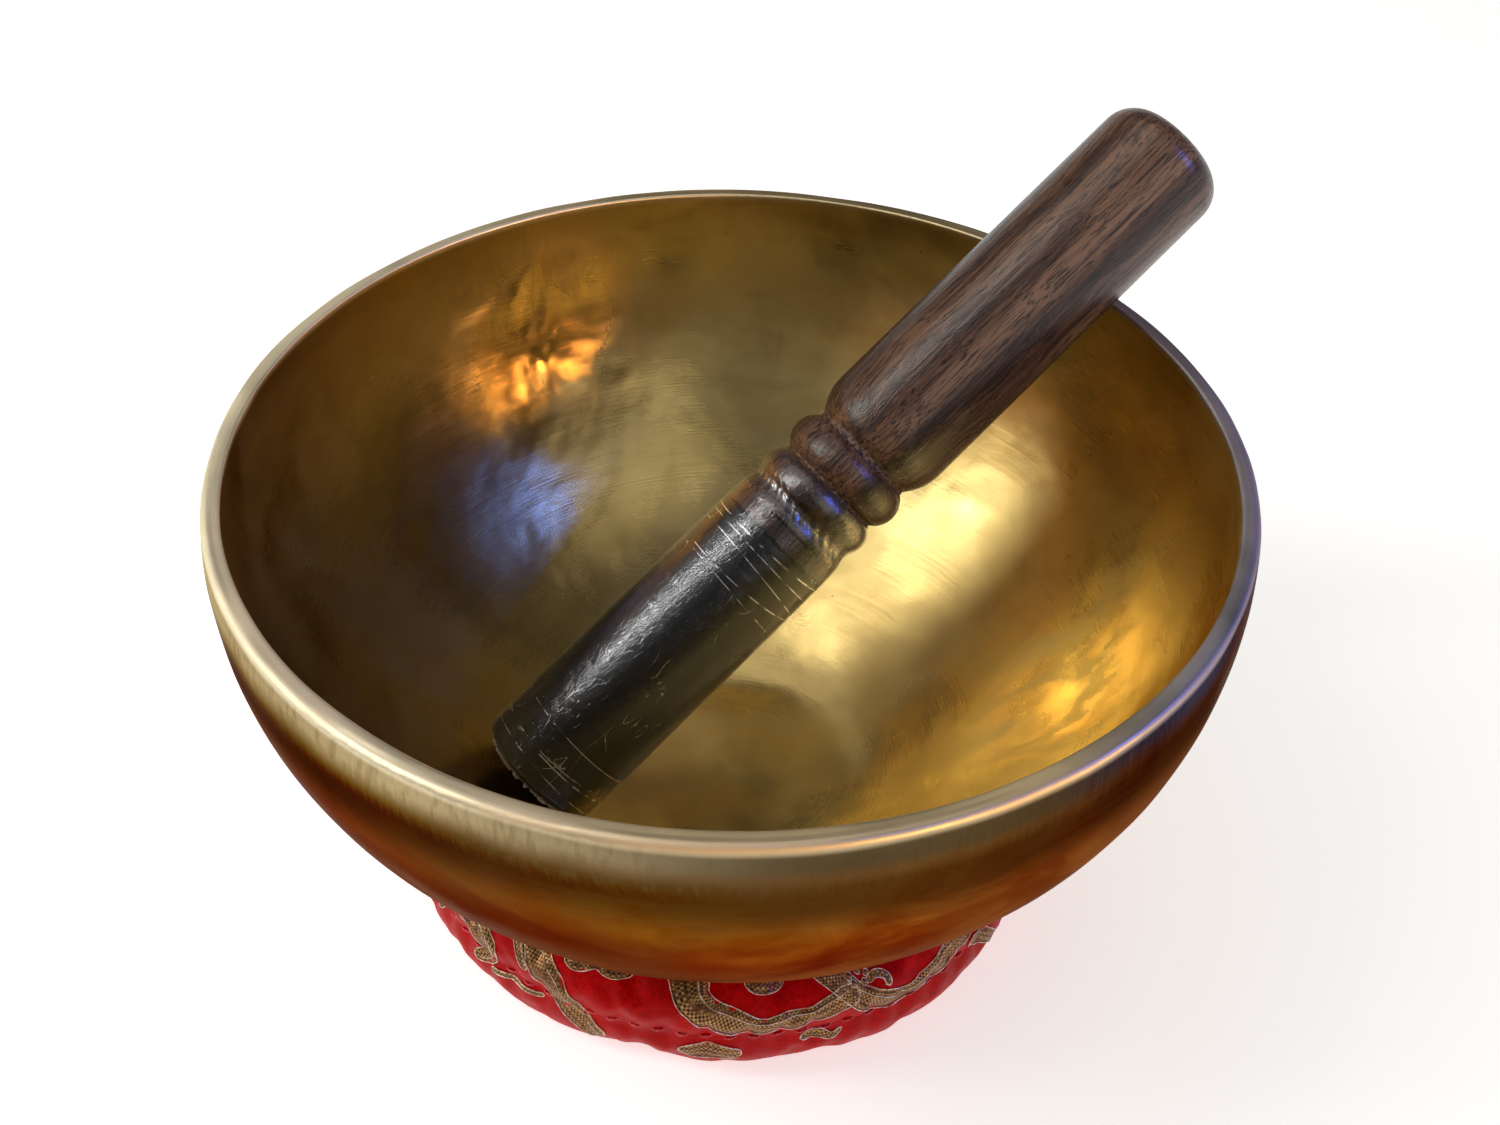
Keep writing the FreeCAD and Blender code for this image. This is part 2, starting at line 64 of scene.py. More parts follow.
# ------------------------ camera
RIM_CENTRE = Vector((0, 0, RIM_HEIGHT * MM))
CAMERA_REACH = 0.29335  # metres from the rim's centre
CAMERA_RISE = radians(36.803)
CAMERA_TURNS = {"Y": 0.679, "X": 4.888, "Z": -1.125}  # degrees about the camera's own axes
CAMERA_LENS = 36.0  # as wide as the sensor


def make_camera():
    """Looks at the rim's centre from in front and above, then turns a little off it."""
    back = Vector((0, -cos(CAMERA_RISE), sin(CAMERA_RISE)))
    right = Vector((1, 0, 0))
    axes = Matrix((right, back.cross(right), back))
    for axis, degrees in CAMERA_TURNS.items():
        axes = Matrix.Rotation(radians(degrees), 3, axis) @ axes
    data = bpy.data.cameras.new("Camera")
    data.lens = CAMERA_LENS
    data.sensor_width = CAMERA_LENS
    data.clip_start = 0.01
    camera = add_object("Camera", data)
    at = Matrix.Translation(RIM_CENTRE + back * CAMERA_REACH)
    camera.matrix_world = at @ axes.transposed().to_4x4()
    bpy.context.scene.camera = camera


# ------------------------ shader helper
class Paint:
    """A node material built step by step; every method returns an output socket."""

    def __init__(self, name):
        self.material = bpy.data.materials.new(name)
        self.material.use_nodes = True
        self.tree = self.material.node_tree
        self.tree.nodes.clear()
        self.out = self.tree.nodes.new("ShaderNodeOutputMaterial")
        self.bsdf = self.tree.nodes.new("ShaderNodeBsdfPrincipled")
        self.tree.links.new(self.bsdf.outputs[0], self.out.inputs[0])

    def put(self, socket, value):
        if isinstance(value, bpy.types.NodeSocket):
            self.tree.links.new(value, socket)
        elif isinstance(value, (tuple, list)) and socket.type == "RGBA":
            socket.default_value = (*value[:3], 1.0)
        else:
            socket.default_value = value

    def set(self, **values):
        for name, value in values.items():
            self.put(self.bsdf.inputs[name.replace("_", " ")], value)

    def node(self, kind, inputs=(), output=0, **settings):
        made = self.tree.nodes.new("ShaderNode" + kind)
        for name, value in settings.items():
            setattr(made, name, value)
        for key, value in dict(inputs).items():
            self.put(made.inputs[key], value)
        return made.outputs[output]

    def math(self, operation, *values, clamp=False):
        return self.node("Math", dict(enumerate(values)), operation=operation, use_clamp=clamp)

    def times(self, one, other):
        return self.math("MULTIPLY", one, other)

    def plus(self, one, other, clamp=False):
        return self.math("ADD", one, other, clamp=clamp)

    def minus(self, one, other):
        return self.math("SUBTRACT", one, other)

    def larger(self, one, other):
        return self.math("MAXIMUM", one, other)

    def gap(self, value, at):
        return self.math("ABSOLUTE", self.minus(value, at))

    def stripes(self, value, pitch):
        return self.math("SINE", self.times(value, TURN / pitch))

    def position(self):
        return self.node("TexCoord", output="Object")

    def parts(self, vector):
        made = self.tree.nodes.new("ShaderNodeSeparateXYZ")
        self.put(made.inputs[0], vector)
        return made.outputs[0], made.outputs[1], made.outputs[2]

    def join(self, x, y, z):
        return self.node("CombineXYZ", {0: x, 1: y, 2: z})

    def stretch(self, vector, z, x=1.0, y=1.0):
        return self.node("Mapping", {"Vector": vector, "Scale": (x, y, z)})

    def noise(self, vector, scale, detail=3.0, roughness=0.55, distortion=0.0):
        return self.node("TexNoise", {"Vector": vector, "Scale": scale, "Detail": detail,
                                      "Roughness": roughness, "Distortion": distortion})

    def cells(self, vector, scale):
        return self.node("TexVoronoi", {"Vector": vector, "Scale": scale})

    def fit(self, value, low, high, to_low=0.0, to_high=1.0, smooth=True):
        return self.node(
            "MapRange", {0: value, 1: low, 2: high, 3: to_low, 4: to_high},
            interpolation_type="SMOOTHSTEP" if smooth else "LINEAR")

    def ramp(self, value, stops):
        made = self.tree.nodes.new("ShaderNodeValToRGB")
        self.put(made.inputs[0], value)
        ramp = made.color_ramp
        while len(ramp.elements) < len(stops):
            ramp.elements.new(0.5)
        for element, (place, colour) in zip(ramp.elements, stops):
            element.position = place
            element.color = (*colour, 1.0)
        return made.outputs[0]

    def mix(self, amount, one, other):
        made = self.tree.nodes.new("ShaderNodeMix")
        made.data_type = "RGBA"
        self.put(made.inputs[0], amount)
        self.put(made.inputs[6], one)
        self.put(made.inputs[7], other)
        return made.outputs[2]

    def near(self, vector, centre, reach):
        """One at the centre (in mm), fading to nothing at that reach."""
        away = self.node("VectorMath", {0: vector, 1: [c * MM for c in centre]}, output=1,
                         operation="DISTANCE")
        return self.fit(away, reach * MM, reach * MM * 0.25)

    def bump(self, height, strength, distance, normal=None):
        inputs = {"Height": height, "Strength": strength, "Distance": distance}
        if normal is not None:
            inputs["Normal"] = normal
        return self.node("Bump", inputs)


# ------------------------ mesh helpers
def circle(count):
    return np.linspace(0, TURN, count, endpoint=False)


def run_of(points):
    """How far along its path each point is, by its first two columns."""
    steps = np.diff(np.array(points)[:, :2], axis=0)
    return np.concatenate([[0], np.cumsum(np.hypot(*steps.T))])


def unit(vectors):
    return vectors / np.maximum(np.linalg.norm(vectors, axis=-1, keepdims=True), 1e-9)


def left_of(path):
    """The direction square to the path at each point, on its left."""
    way = unit(np.gradient(path, axis=0))
    return np.stack([-way[:, 1], way[:, 0]], -1)


def paired(one, other):
    """Two arrays spread over each other's shape, side by side, as for a UV map."""
    return np.stack(np.broadcast_arrays(one, other), -1)


def add_object(name, data):
    made = bpy.data.objects.new(name, data)
    bpy.context.scene.collection.objects.link(made)
    return made


def grid_object(name, points, close_round=True, close_along=False, uv=None):
    """A quad mesh from points[along][round]; uv is an optional array of the same layout."""
    along, around = points.shape[:2]
    index = np.arange(along * around).reshape(along, around)
    rows = np.arange(along if close_along else along - 1)
    cols = np.arange(around if close_round else around - 1)
    r0, c0 = np.meshgrid(rows, cols, indexing="ij")
    r1, c1 = (r0 + 1) % along, (c0 + 1) % around
    faces = np.stack([index[r0, c0], index[r0, c1], index[r1, c1], index[r1, c0]], -1)
    mesh = bpy.data.meshes.new(name)
    mesh.from_pydata(points.reshape(-1, 3).tolist(), [], faces.reshape(-1, 4).tolist())
    if uv is not None:
        layer = mesh.uv_layers.new(name="UVMap")
        u0, v0 = uv[r0, c0, 0], uv[r0, c0, 1]
        beyond = 2 * uv[r0, around - 1, 0] - uv[r0, around - 2, 0]
        u1 = np.where(c0 + 1 == around, beyond, uv[r0, c1, 0])
        v1 = uv[r1, c0, 1]
        corners = np.stack([paired(u0, v0), paired(u1, v0), paired(u1, v1), paired(u0, v1)], 2)
        layer.data.foreach_set("uv", corners.reshape(-1).astype(np.float32))
    mesh.validate()
    mesh.polygons.foreach_set("use_smooth", [True] * len(mesh.polygons))
    mesh.update()
    return add_object(name, mesh)


def arc(centre, radius, first, last, step):
    """Points of an arc in the (radius, height) plane, from angle first to last in degrees."""
    count = max(2, int(abs(radians(last - first)) * radius / step) + 1)
    angles = np.radians(np.linspace(first, last, count))
    return [(centre[0] + radius * cos(a), centre[1] + radius * sin(a)) for a in angles]


def heading(start, end):
    return in_degrees(atan2(end[1] - start[1], end[0] - start[0]))


def lathe(name, profile, around, wobble=None):
    """Turns a profile of (radius, height) in mm about Z, with an optional outward wobble."""
    profile = np.array(profile)
    length = run_of(profile)
    normal = -left_of(profile)
    turn = circle(around)
    offset = np.zeros((len(profile), around))
    if wobble is not None:
        offset = wobble(profile, turn)
    r = profile[:, None, 0] + normal[:, None, 0] * offset
    z = profile[:, None, 1] + normal[:, None, 1] * offset
    on_axis = profile[:, None, 0] < 1e-6
    r = np.where(on_axis, 0.0, r)
    z = np.where(on_axis, z.mean(axis=1, keepdims=True), z)
    points = np.stack([r * np.cos(turn), r * np.sin(turn), z], -1) * MM
    uv = paired(turn[None, :] / TURN, length[:, None] * MM)
    made = grid_object(name, points, uv=uv)
    if on_axis.any():
        weld_poles(made)
    return made


def weld_poles(made):
    """Closes a turned piece on its axis, where each end row is one point."""
    mesh = bmesh.new()
    mesh.from_mesh(made.data)
    on_axis = [v for v in mesh.verts if v.co.x ** 2 + v.co.y ** 2 < 1e-14]
    bmesh.ops.remove_doubles(mesh, verts=on_axis, dist=1e-6)
    mesh.to_mesh(made.data)
    mesh.free()


def finish_piece(piece, body, slot_name, paint, *nodes):
    piece.data.materials.clear()
    piece.data.materials.append(paint.material)
    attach(piece, body)
    if nodes:
        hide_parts(*nodes)


# ------------------------ bowl
EASING = 25  # how often the section is smoothed
HELD_ABOVE, HELD_WITHIN = 100.0, 3.0  # the lip and the middle are not smoothed
# Waves in the wall, as (mm deep, mm long, how many)
DENTS = ((0.045, 17, 14), (0.10, 60, 8))
SWELL = ((0.035, 15, 14), (0.09, 50, 8))
BOWL_AROUND = 384


def bowl_profile():
    """The wall's section: from the underside's middle, over the lip, to the floor's middle."""
    at_knee = heading(BODY, KNEE)
    at_belly = heading(BODY, BELLY)
    reach = BELLY[2] - LIP_OUTER_ROUND
    outer_rim = in_degrees(asin((RIM_HEIGHT - LIP_OUTER_ROUND - BELLY[1]) / reach))
    lip = (BELLY[0] + reach * cos(radians(outer_rim)), RIM_HEIGHT - LIP_OUTER_ROUND)
    outside = [(r, BASE_HEIGHT) for r in np.linspace(0.0, KNEE[0], 22)]
    outside += arc(KNEE, KNEE[2], -90, at_knee, 1.1)[1:]
    outside += arc(BODY, BODY[2], at_knee, at_belly, 1.1)[1:]
    outside += arc(BELLY, BELLY[2], at_belly, outer_rim, 1.0)[1:]
    outside += arc(lip, LIP_OUTER_ROUND, outer_rim, 90, 0.3)[1:]
    curve = BELLY[2] - WALL
    reach = curve + LIP_INNER_ROUND
    inner_rim = in_degrees(asin((RIM_HEIGHT - LIP_INNER_ROUND - BELLY[1]) / reach))
    lip = (BELLY[0] + reach * cos(radians(inner_rim)), RIM_HEIGHT - LIP_INNER_ROUND)
    inside = [(r, RIM_HEIGHT) for r in np.linspace(outside[-1][0], lip[0], 5)[1:]]
    inside += arc(lip, LIP_INNER_ROUND, 90, 180 + inner_rim, 0.15)[1:]
    inside += arc(BELLY, curve, inner_rim, at_belly, 1.0)[1:]
    inside += arc(BODY, BODY[2] - WALL, at_belly, at_knee, 1.1)[1:]
    inside += arc(KNEE, KNEE[2] - WALL, at_knee, -90, 1.1)[1:]
    inside += [(r, BASE_HEIGHT + WALL) for r in np.linspace(KNEE[0], 0.0, 22)][1:]
    return eased(outside + inside), len(outside)


def eased(profile):
    """The same section with its changes of curve eased, as hand hammering leaves them."""
    points = np.array(profile)
    held = (points[:, 1] > HELD_ABOVE) | (points[:, 0] < HELD_WITHIN)
    for _ in range(EASING):
        moved = points.copy()
        moved[1:-1] = (points[:-2] + 2 * points[1:-1] + points[2:]) / 4
        points = np.where(held[:, None], points, moved)
    return points


def waves(x, y, z, pitch, count):
    """A smooth random field: count plane waves of about the given pitch, in mm, added up."""
    total = np.zeros(np.broadcast(x, y, z).shape)
    for _ in range(count):
        way = RNG.normal(size=3)
        way *= TURN / (pitch * RNG.uniform(0.7, 1.5)) / np.linalg.norm(way)
        total += np.sin(way[0] * x + way[1] * y + way[2] * z + RNG.uniform(0, TURN))
    return total / sqrt(count)


def layered(layers, x, y, z):
    return sum(deep * waves(x, y, z, pitch, count) for deep, pitch, count in layers)


def hammered(outside_rows):
    """Soft planishing dents outside and a gentler swell inside, both running into the lip."""
    def wobble(profile, turn):
        x = profile[:, None, 0] * np.cos(turn)
        y = profile[:, None, 0] * np.sin(turn)
        z = profile[:, None, 1] + 0 * x
        outer = (np.arange(len(profile)) < outside_rows)[:, None]
        dents = layered(DENTS, x, y, z)
        return np.where(outer, dents, layered(SWELL, x, y, z))
    return wobble


# Spots of the bowl's inside, in mm: a painted warm reflection on metal made smoother there, and where
# the metal is only smoother
GLOW_POLISH_BACK, GLOW_POLISH_RIGHT = (-48, 83, 80), (76, -5, 46)
SMOOTH_LEFT, SMOOTH_RIGHT = (-58, 52, 48), (85, -37, 62)


def bronze_paint(outside_length):
    """Hammered bronze: brushed round and round, clouded, coppery outside, bright at the lip, with
    painted shade, painted highlights and painted reflections in its colour.
    """
    p = Paint("bronze")
    place = p.position()
    x, y, z = p.parts(place)
    radius = p.math("SQRT", p.plus(p.times(x, x), p.times(y, y)))
    cosine, sine = p.math("DIVIDE", x, radius), p.math("DIVIDE", y, radius)
    along = p.parts(p.node("UVMap"))[1]
    inside = p.fit(along, outside_length - 0.001, outside_length + 0.001)
    outside = p.minus(1.0, inside)
    meridian = p.plus(radius, z)
    brushed = p.join(p.times(cosine, 2.2), p.times(sine, 2.2), p.times(meridian, 1700.0))
    brush = p.noise(brushed, 1.0, 5.0, 0.62)
    cloud = p.noise(place, 13.0, 4.0, 0.55, 0.5)
    stain = p.noise(p.stretch(place, 1.6), 34.0, 5.0, 0.62, 0.8)
    colour = p.ramp(cloud, [
        (0.30, (0.46, 0.32, 0.115)),
        (0.45, (0.61, 0.445, 0.165)),
        (0.58, (0.71, 0.54, 0.21)),
        (0.72, (0.79, 0.63, 0.28)),
    ])
    colour = p.mix(p.fit(stain, 0.48, 0.80, 0.0, 0.5), colour, (0.34, 0.205, 0.075))
    # Painted shade: the inside is darkened towards -x, standing in for the dark room reflected on that
    # side.
    painted_shade_left = p.fit(x, 0.0, -0.085, 0.0, 0.62)
    colour = p.mix(p.times(painted_shade_left, inside), colour, (0.17, 0.115, 0.062))
    copper = p.mix(p.fit(stain, 0.35, 0.65), (0.245, 0.100, 0.028), (0.37, 0.175, 0.055))
    copper = p.mix(p.fit(cloud, 0.62, 0.42, 0.0, 0.6), copper, (0.15, 0.085, 0.035))
    # Painted light on the outer wall under the lip: the dark tone stands in for shade, with a painted
    # blue reflection towards +x and a pale gold painted highlight towards -x.
    upper_wall_painted_light = p.mix(p.fit(cloud, 0.35, 0.65), (0.048, 0.030, 0.015), (0.090, 0.064, 0.032))
    upper_wall_painted_light = p.mix(p.fit(x, 0.045, 0.085), upper_wall_painted_light, (0.075, 0.090, 0.150))
    upper_wall_painted_light = p.mix(p.fit(x, 0.022, -0.055), upper_wall_painted_light, (0.40, 0.315, 0.175))
    sag = p.times(p.minus(cloud, 0.5), 0.008)
    height = p.plus(z, sag)
    wall = p.mix(p.fit(height, 0.1055, 0.0985), upper_wall_painted_light, copper)
    # Painted shade: a dark band round the outer wall just under the lip.
    painted_shade_band = p.times(p.fit(height, 0.085, 0.096), p.fit(height, 0.1055, 0.0995))
    wall = p.mix(p.times(painted_shade_band, 0.85), wall, (0.060, 0.030, 0.009))
    colour = p.mix(outside, colour, wall)
    ticks = p.noise(p.stretch(place, 0.20), 800.0, 2.0, 0.5)
    tick_band = p.times(p.fit(z, 0.096, 0.100), p.fit(z, 0.109, 0.107))
    tick_band = p.times(tick_band, outside)
    tick_band = p.times(tick_band, p.fit(x, 0.03, -0.03, 0.25, 1.0))
    ticked = p.times(tick_band, p.fit(ticks, 0.46, 0.66, 0.0, 0.35))
    colour = p.mix(ticked, colour, (0.12, 0.08, 0.035))
    specks = p.times(p.fit(p.cells(place, 130.0), 0.05, 0.03), p.fit(stain, 0.45, 0.60))
    colour = p.mix(p.times(specks, 0.7), colour, (0.10, 0.06, 0.03))
    lip = p.fit(z, 0.1068, 0.1084)
    # Painted light on the lip: brighter towards -x as a painted highlight, bluish grey towards +x as a
    # painted reflection.
    lip_colour_painted_light = p.mix(p.fit(x, 0.0, -0.07), (0.70, 0.56, 0.34), (0.94, 0.84, 0.62))
    lip_colour_painted_light = p.mix(p.fit(x, 0.045, 0.080), lip_colour_painted_light, (0.36, 0.36, 0.44))
    colour = p.mix(p.times(lip, 0.8), colour, lip_colour_painted_light)
    # Painted reflection: a bright warm orange glow at two spots inside. The metal there is also made
    # smoother below, so the lamp's real reflection adds to it.
    painted_glow_and_polish = p.larger(p.near(place, GLOW_POLISH_BACK, 34), p.near(place, GLOW_POLISH_RIGHT, 36))
    glow_streak_place = p.join(p.times(cosine, 9.0), p.times(sine, 9.0), p.times(meridian, 28.0))
    painted_glow_and_polish = p.times(painted_glow_and_polish, p.fit(p.noise(glow_streak_place, 1.0, 5.0, 0.55, 0.5), 0.36, 0.64))
    colour = p.mix(painted_glow_and_polish, colour, (1.0, 0.64, 0.21))
    # The edge tint is duller low on the outer wall, and also towards +x, where it is painted shade on
    # the right side.
    dull_edge_and_painted_shade = p.larger(p.fit(z, 0.103, 0.097), p.fit(x, -0.015, 0.025))
    edge_tint = p.mix(p.times(outside, dull_edge_and_painted_shade), (0.78, 0.64, 0.42), (0.28, 0.13, 0.05))
    p.set(Base_Color=colour, Metallic=1.0, Specular_Tint=edge_tint, Anisotropic=0.45)
    p.set(Tangent=p.node("Tangent", direction_type="RADIAL", axis="Z"))
    polish = p.noise(place, 40.0, 2.0, 0.5, 0.3)
    brushing = p.fit(brush, 0.3, 0.7, 0.0, 0.08, smooth=False)
    rough = p.plus(p.fit(polish, 0.74, 0.34, 0.20, 0.38), brushing)
    rough = p.times(rough, p.minus(1.0, p.times(painted_glow_and_polish, 0.50)))
    worn_smooth = p.times(p.near(place, SMOOTH_LEFT, 62), 0.36)
    worn_smooth = p.larger(worn_smooth, p.times(p.near(place, SMOOTH_RIGHT, 34), 0.45))
    rough = p.times(rough, p.minus(1.0, worn_smooth))
    rough = p.plus(rough, p.times(outside, 0.06))
    rough = p.plus(rough, p.times(lip, 0.12))
    p.set(Roughness=rough)
    dents = p.bump(p.times(ticks, tick_band), 0.5, 0.0010)
    planished = p.bump(p.noise(place, 75.0, 2.0, 0.4), 0.16, 0.003, dents)
    facets = p.times(p.near(place, GLOW_POLISH_BACK, 36), p.noise(place, 52.0, 2.0, 0.35, 0.4))
    planished = p.bump(facets, 0.30, 0.006, planished)
    fine = p.bump(brush, 0.08, 0.0004, planished)
    p.set(Normal=p.bump(p.noise(place, 1400.0, 2.0), 0.05, 0.0003, fine))
    return p


def make_bowl():
    profile, outside_rows = bowl_profile()
    bowl = lathe("bowl", profile, BOWL_AROUND, hammered(outside_rows))
    paint = bronze_paint(float(run_of(profile)[outside_rows]) * MM)
    finish_piece(bowl, "bowl", "bronze", paint, "bowl_shell")
    return bowl


# ------------------------ mallet
SLEEVE_LENGTH = 73.7
CORE = 13.0
NECK, NECK_CURVE, NECK_END = 14.2, 4.0, 78.0
GROOVE = 12.2
LOW_BEAD = (14.45, 5.0, 85.8)  # radius, curve, height
HIGH_BEAD = (14.75, 5.6, 95.1)
SHOULDER_CURVE, SHOULDER_END, GRIP_LOW = 12.0, 108.6, 15.1
GRIP_END, GRIP_CORNER, GRIP_DOME, MALLET_LENGTH = 14.6, 6.6, 60.0, 194.6
SLEEVE_TIP, SLEEVE_NECK, SLEEVE_ROUND = 15.0, 14.4, 1.2
TIP_RECESS, TIP_CORNER = 0.5, 1.0
FIT_GAP = 0.05
MALLET_AROUND, FILM_AROUND = 128, 192
# Where the turning tool left rings: middle and reach in mm, and strength
TOOL_RINGS = ((93, 13.0, 1.0), (186, 6.0, 0.8))
TURNED_GROOVES = (0.0903, 0.1000)  # metres along the stick
FILM_OFF = 0.13
FILM_HOLE, FILM_FOLD, FILM_CREASE = (8.9, -2.3), (12.2, -1.3), (13.2, 81.4)  # radius, height
FILM_ON_NECK, FILM_ON_BEAD = 30, (-38, 48)  # degrees of the neck's and the bead's arcs
PUCKER_AT = 81.6
# The film's wound lines: metres along it, how they lean, and half their width in metres
WOUND_LINES = ((0.0025, 0.10, 0.00010), (0.0060, 0.03, 0.00016), (0.0075, -0.04, 0.00010),
               (0.0125, 0.05, 0.00012), (0.0588, 0.10, 0.00010), (0.0625, -0.08, 0.00013),
               (0.0655, 0.13, 0.00010), (0.0690, 0.04, 0.00012), (0.0718, -0.05, 0.00016))


def turned_piece(name, profile, around, wobble, slot_name, paint, node):
    """A piece of the mallet, made along +Z and laid where the mallet leans."""
    piece = lathe(name, profile, around, wobble)
    turn = Matrix.Rotation(LEAN_AZIMUTH, 4, "Z") @ Matrix.Rotation(pi / 2 - LEAN_RISE, 4, "Y")
    piece.matrix_world = Matrix.Translation(LEAN_AT) @ turn
    finish_piece(piece, "mallet", slot_name, paint, node)


def bead_points(bead, step):
    centre = (bead[0] - bead[1], bead[2])
    half = in_degrees(acos((GROOVE - centre[0]) / bead[1]))
    return arc(centre, bead[1], -half, half, step)


def straight(start, end, step):
    count = max(2, int(dist(start, end) / step) + 1)
    share = np.linspace(0, 1, count)[1:]
    return [(start[0] + (end[0] - start[0]) * t, start[1] + (end[1] - start[1]) * t) for t in share]


def handle_profile():
    tip = (CORE - TIP_CORNER, TIP_RECESS + TIP_CORNER)
    points = [(r, TIP_RECESS) for r in np.linspace(0.0, tip[0], 6)]
    points += arc(tip, TIP_CORNER, -90, 0, 0.4)[1:]
    points += straight(points[-1], (CORE, SLEEVE_LENGTH), 6.0)
    points += straight(points[-1], (NECK, SLEEVE_LENGTH), 0.6)
    points += straight(points[-1], (NECK, NECK_END), 0.6)
    neck = (NECK - NECK_CURVE, NECK_END)
    turns_in = in_degrees(acos((GROOVE - neck[0]) / NECK_CURVE))
    points += arc(neck, NECK_CURVE, 0, turns_in, 0.4)
    points += bead_points(LOW_BEAD, 0.35) + bead_points(HIGH_BEAD, 0.35)
    shoulder = (GRIP_LOW - SHOULDER_CURVE, SHOULDER_END)
    rises = in_degrees(acos((GROOVE - shoulder[0]) / SHOULDER_CURVE))
    points += arc(shoulder, SHOULDER_CURVE, -rises, 0, 0.4)
    inset = GRIP_END - GRIP_CORNER
    at_dome = in_degrees(acos(inset / (GRIP_DOME - GRIP_CORNER)))
    corner = MALLET_LENGTH - GRIP_DOME + (GRIP_DOME - GRIP_CORNER) * sin(radians(at_dome))
    points += straight(points[-1], (GRIP_END, corner), 1.2)
    points += arc((inset, corner), GRIP_CORNER, 0, at_dome, 0.5)[1:]
    points += arc((0, MALLET_LENGTH - GRIP_DOME), GRIP_DOME, at_dome, 90, 0.8)[1:]
    return points


def wood_wobble(profile, turn):
    """Hand turning: a hair out of round, with fine tool rings on the beads and the grip's end."""
    z = profile[:, None, 1] + 0 * turn
    rings = sum(share * np.exp(-((z - at) / reach) ** 2) for at, reach, share in TOOL_RINGS)
    off_pole = np.clip(profile[:, None, 0] / 8.0, 0, 1)
    tooled = 0.02 * np.sin(z * 7.3 + 1.5 * np.sin(z * 0.9)) * rings
    return off_pole * (tooled + 0.05 * np.cos(2 * turn + z * 0.01))


def wood_paint():
    """Dark rosewood, the grain running along the stick in long streaks, with open pores."""
    p = Paint("rosewood")
    place = p.position()
    x, y, z = p.parts(place)
    sway = p.times(p.minus(p.noise(place, 22.0, 2.0), 0.5), 0.010)
    swayed = p.join(p.plus(x, sway), p.plus(y, sway), z)
    broad = p.noise(p.stretch(swayed, 0.04), 150.0, 3.0, 0.55)
    streak = p.noise(p.stretch(swayed, 0.022), 1050.0, 4.0, 0.62)
    pores = p.noise(p.stretch(swayed, 0.055), 2200.0, 3.0, 0.6)
    colour = p.ramp(broad, [
        (0.34, (0.026, 0.011, 0.007)),
        (0.46, (0.072, 0.032, 0.018)),
        (0.56, (0.140, 0.066, 0.034)),
        (0.68, (0.235, 0.120, 0.060)),
    ])
    colour = p.mix(p.fit(streak, 0.50, 0.62, 0.0, 0.7), colour, (0.022, 0.011, 0.009))
    colour = p.mix(p.fit(streak, 0.46, 0.34, 0.0, 0.45), colour, (0.24, 0.135, 0.08))
    colour = p.mix(p.fit(pores, 0.53, 0.62, 0.0, 0.85), colour, (0.010, 0.005, 0.004))
    grooves = p.plus(*[p.fit(p.gap(z, at), 0.0014, 0.0004) for at in TURNED_GROOVES])
    crumbs = p.fit(p.noise(place, 1300.0, 3.0, 0.7), 0.45, 0.6)
    dirt = p.mix(crumbs, (0.02, 0.009, 0.005), (0.26, 0.13, 0.06))
    p.set(Base_Color=p.mix(p.times(grooves, 0.85), colour, dirt), Specular_IOR_Level=0.5)
    p.set(Roughness=p.plus(p.fit(streak, 0.3, 0.7, 0.21, 0.32), p.times(grooves, 0.3)))
    lines = p.stripes(z, 0.00045)
    turned = p.times(lines, p.fit(p.gap(z, 0.0965), 0.016, 0.010))
    fine = p.bump(streak, 0.22, 0.0004, p.bump(turned, 0.10, 0.00006))
    p.set(Normal=p.bump(pores, 0.40, 0.0002, fine))
    return p


def on_skin(profile, turn):
    """The points of a mallet piece as x, y on one circle and z along the stick."""
    z = profile[:, None, 1] + 0 * turn
    x = SLEEVE_TIP * np.cos(turn)[None, :] + 0 * z
    return x, SLEEVE_TIP * np.sin(turn)[None, :] + 0 * z, z


def creases(profile, turn):
    """Faint folds in the leather, fading out at both ends of the sleeve and inside it."""
    x, y, z = on_skin(profile, turn)
    outside = profile[:, None, 0] > 14.0
    skin = outside * np.clip(np.minimum(z, SLEEVE_LENGTH - z) / 4.0, 0, 1)
    return 0.05 * waves(x, y, z * 0.35, 7.0, 12) * skin


def sleeve_profile():
    top = SLEEVE_LENGTH - FIT_GAP
    inner = CORE + FIT_GAP
    corner = (SLEEVE_TIP - SLEEVE_ROUND, SLEEVE_ROUND)
    points = [(inner, top)] + straight((inner, top), (inner, 0), 6.0)
    points += straight((inner, 0), (corner[0], 0), 0.4)
    points += arc(corner, SLEEVE_ROUND, -90, 0, 0.25)[1:]
    points += straight((SLEEVE_TIP, SLEEVE_ROUND), (SLEEVE_NECK, top - 0.3), 1.0)
    points += straight(points[-1], (SLEEVE_NECK - 0.3, top), 0.2)
    return points + straight(points[-1], (inner, top), 0.5)


def leather_paint():
    """Nearly black hide with a small grain, scuffed along the stick."""
    p = Paint("black_leather")
    place = p.position()
    hide = p.cells(p.stretch(place, 0.6), 900.0)
    long_grain = p.noise(p.stretch(place, 0.08), 500.0, 3.0, 0.6)
    scuffed = p.fit(long_grain, 0.4, 0.7)
    p.set(Base_Color=p.mix(scuffed, (0.0030, 0.0040, 0.0032), (0.0085, 0.0100, 0.0085)))
    p.set(Roughness=p.fit(long_grain, 0.3, 0.7, 0.30, 0.48))
    p.set(Normal=p.bump(hide, 0.12, 0.0003, p.bump(long_grain, 0.18, 0.0004)))
    return p


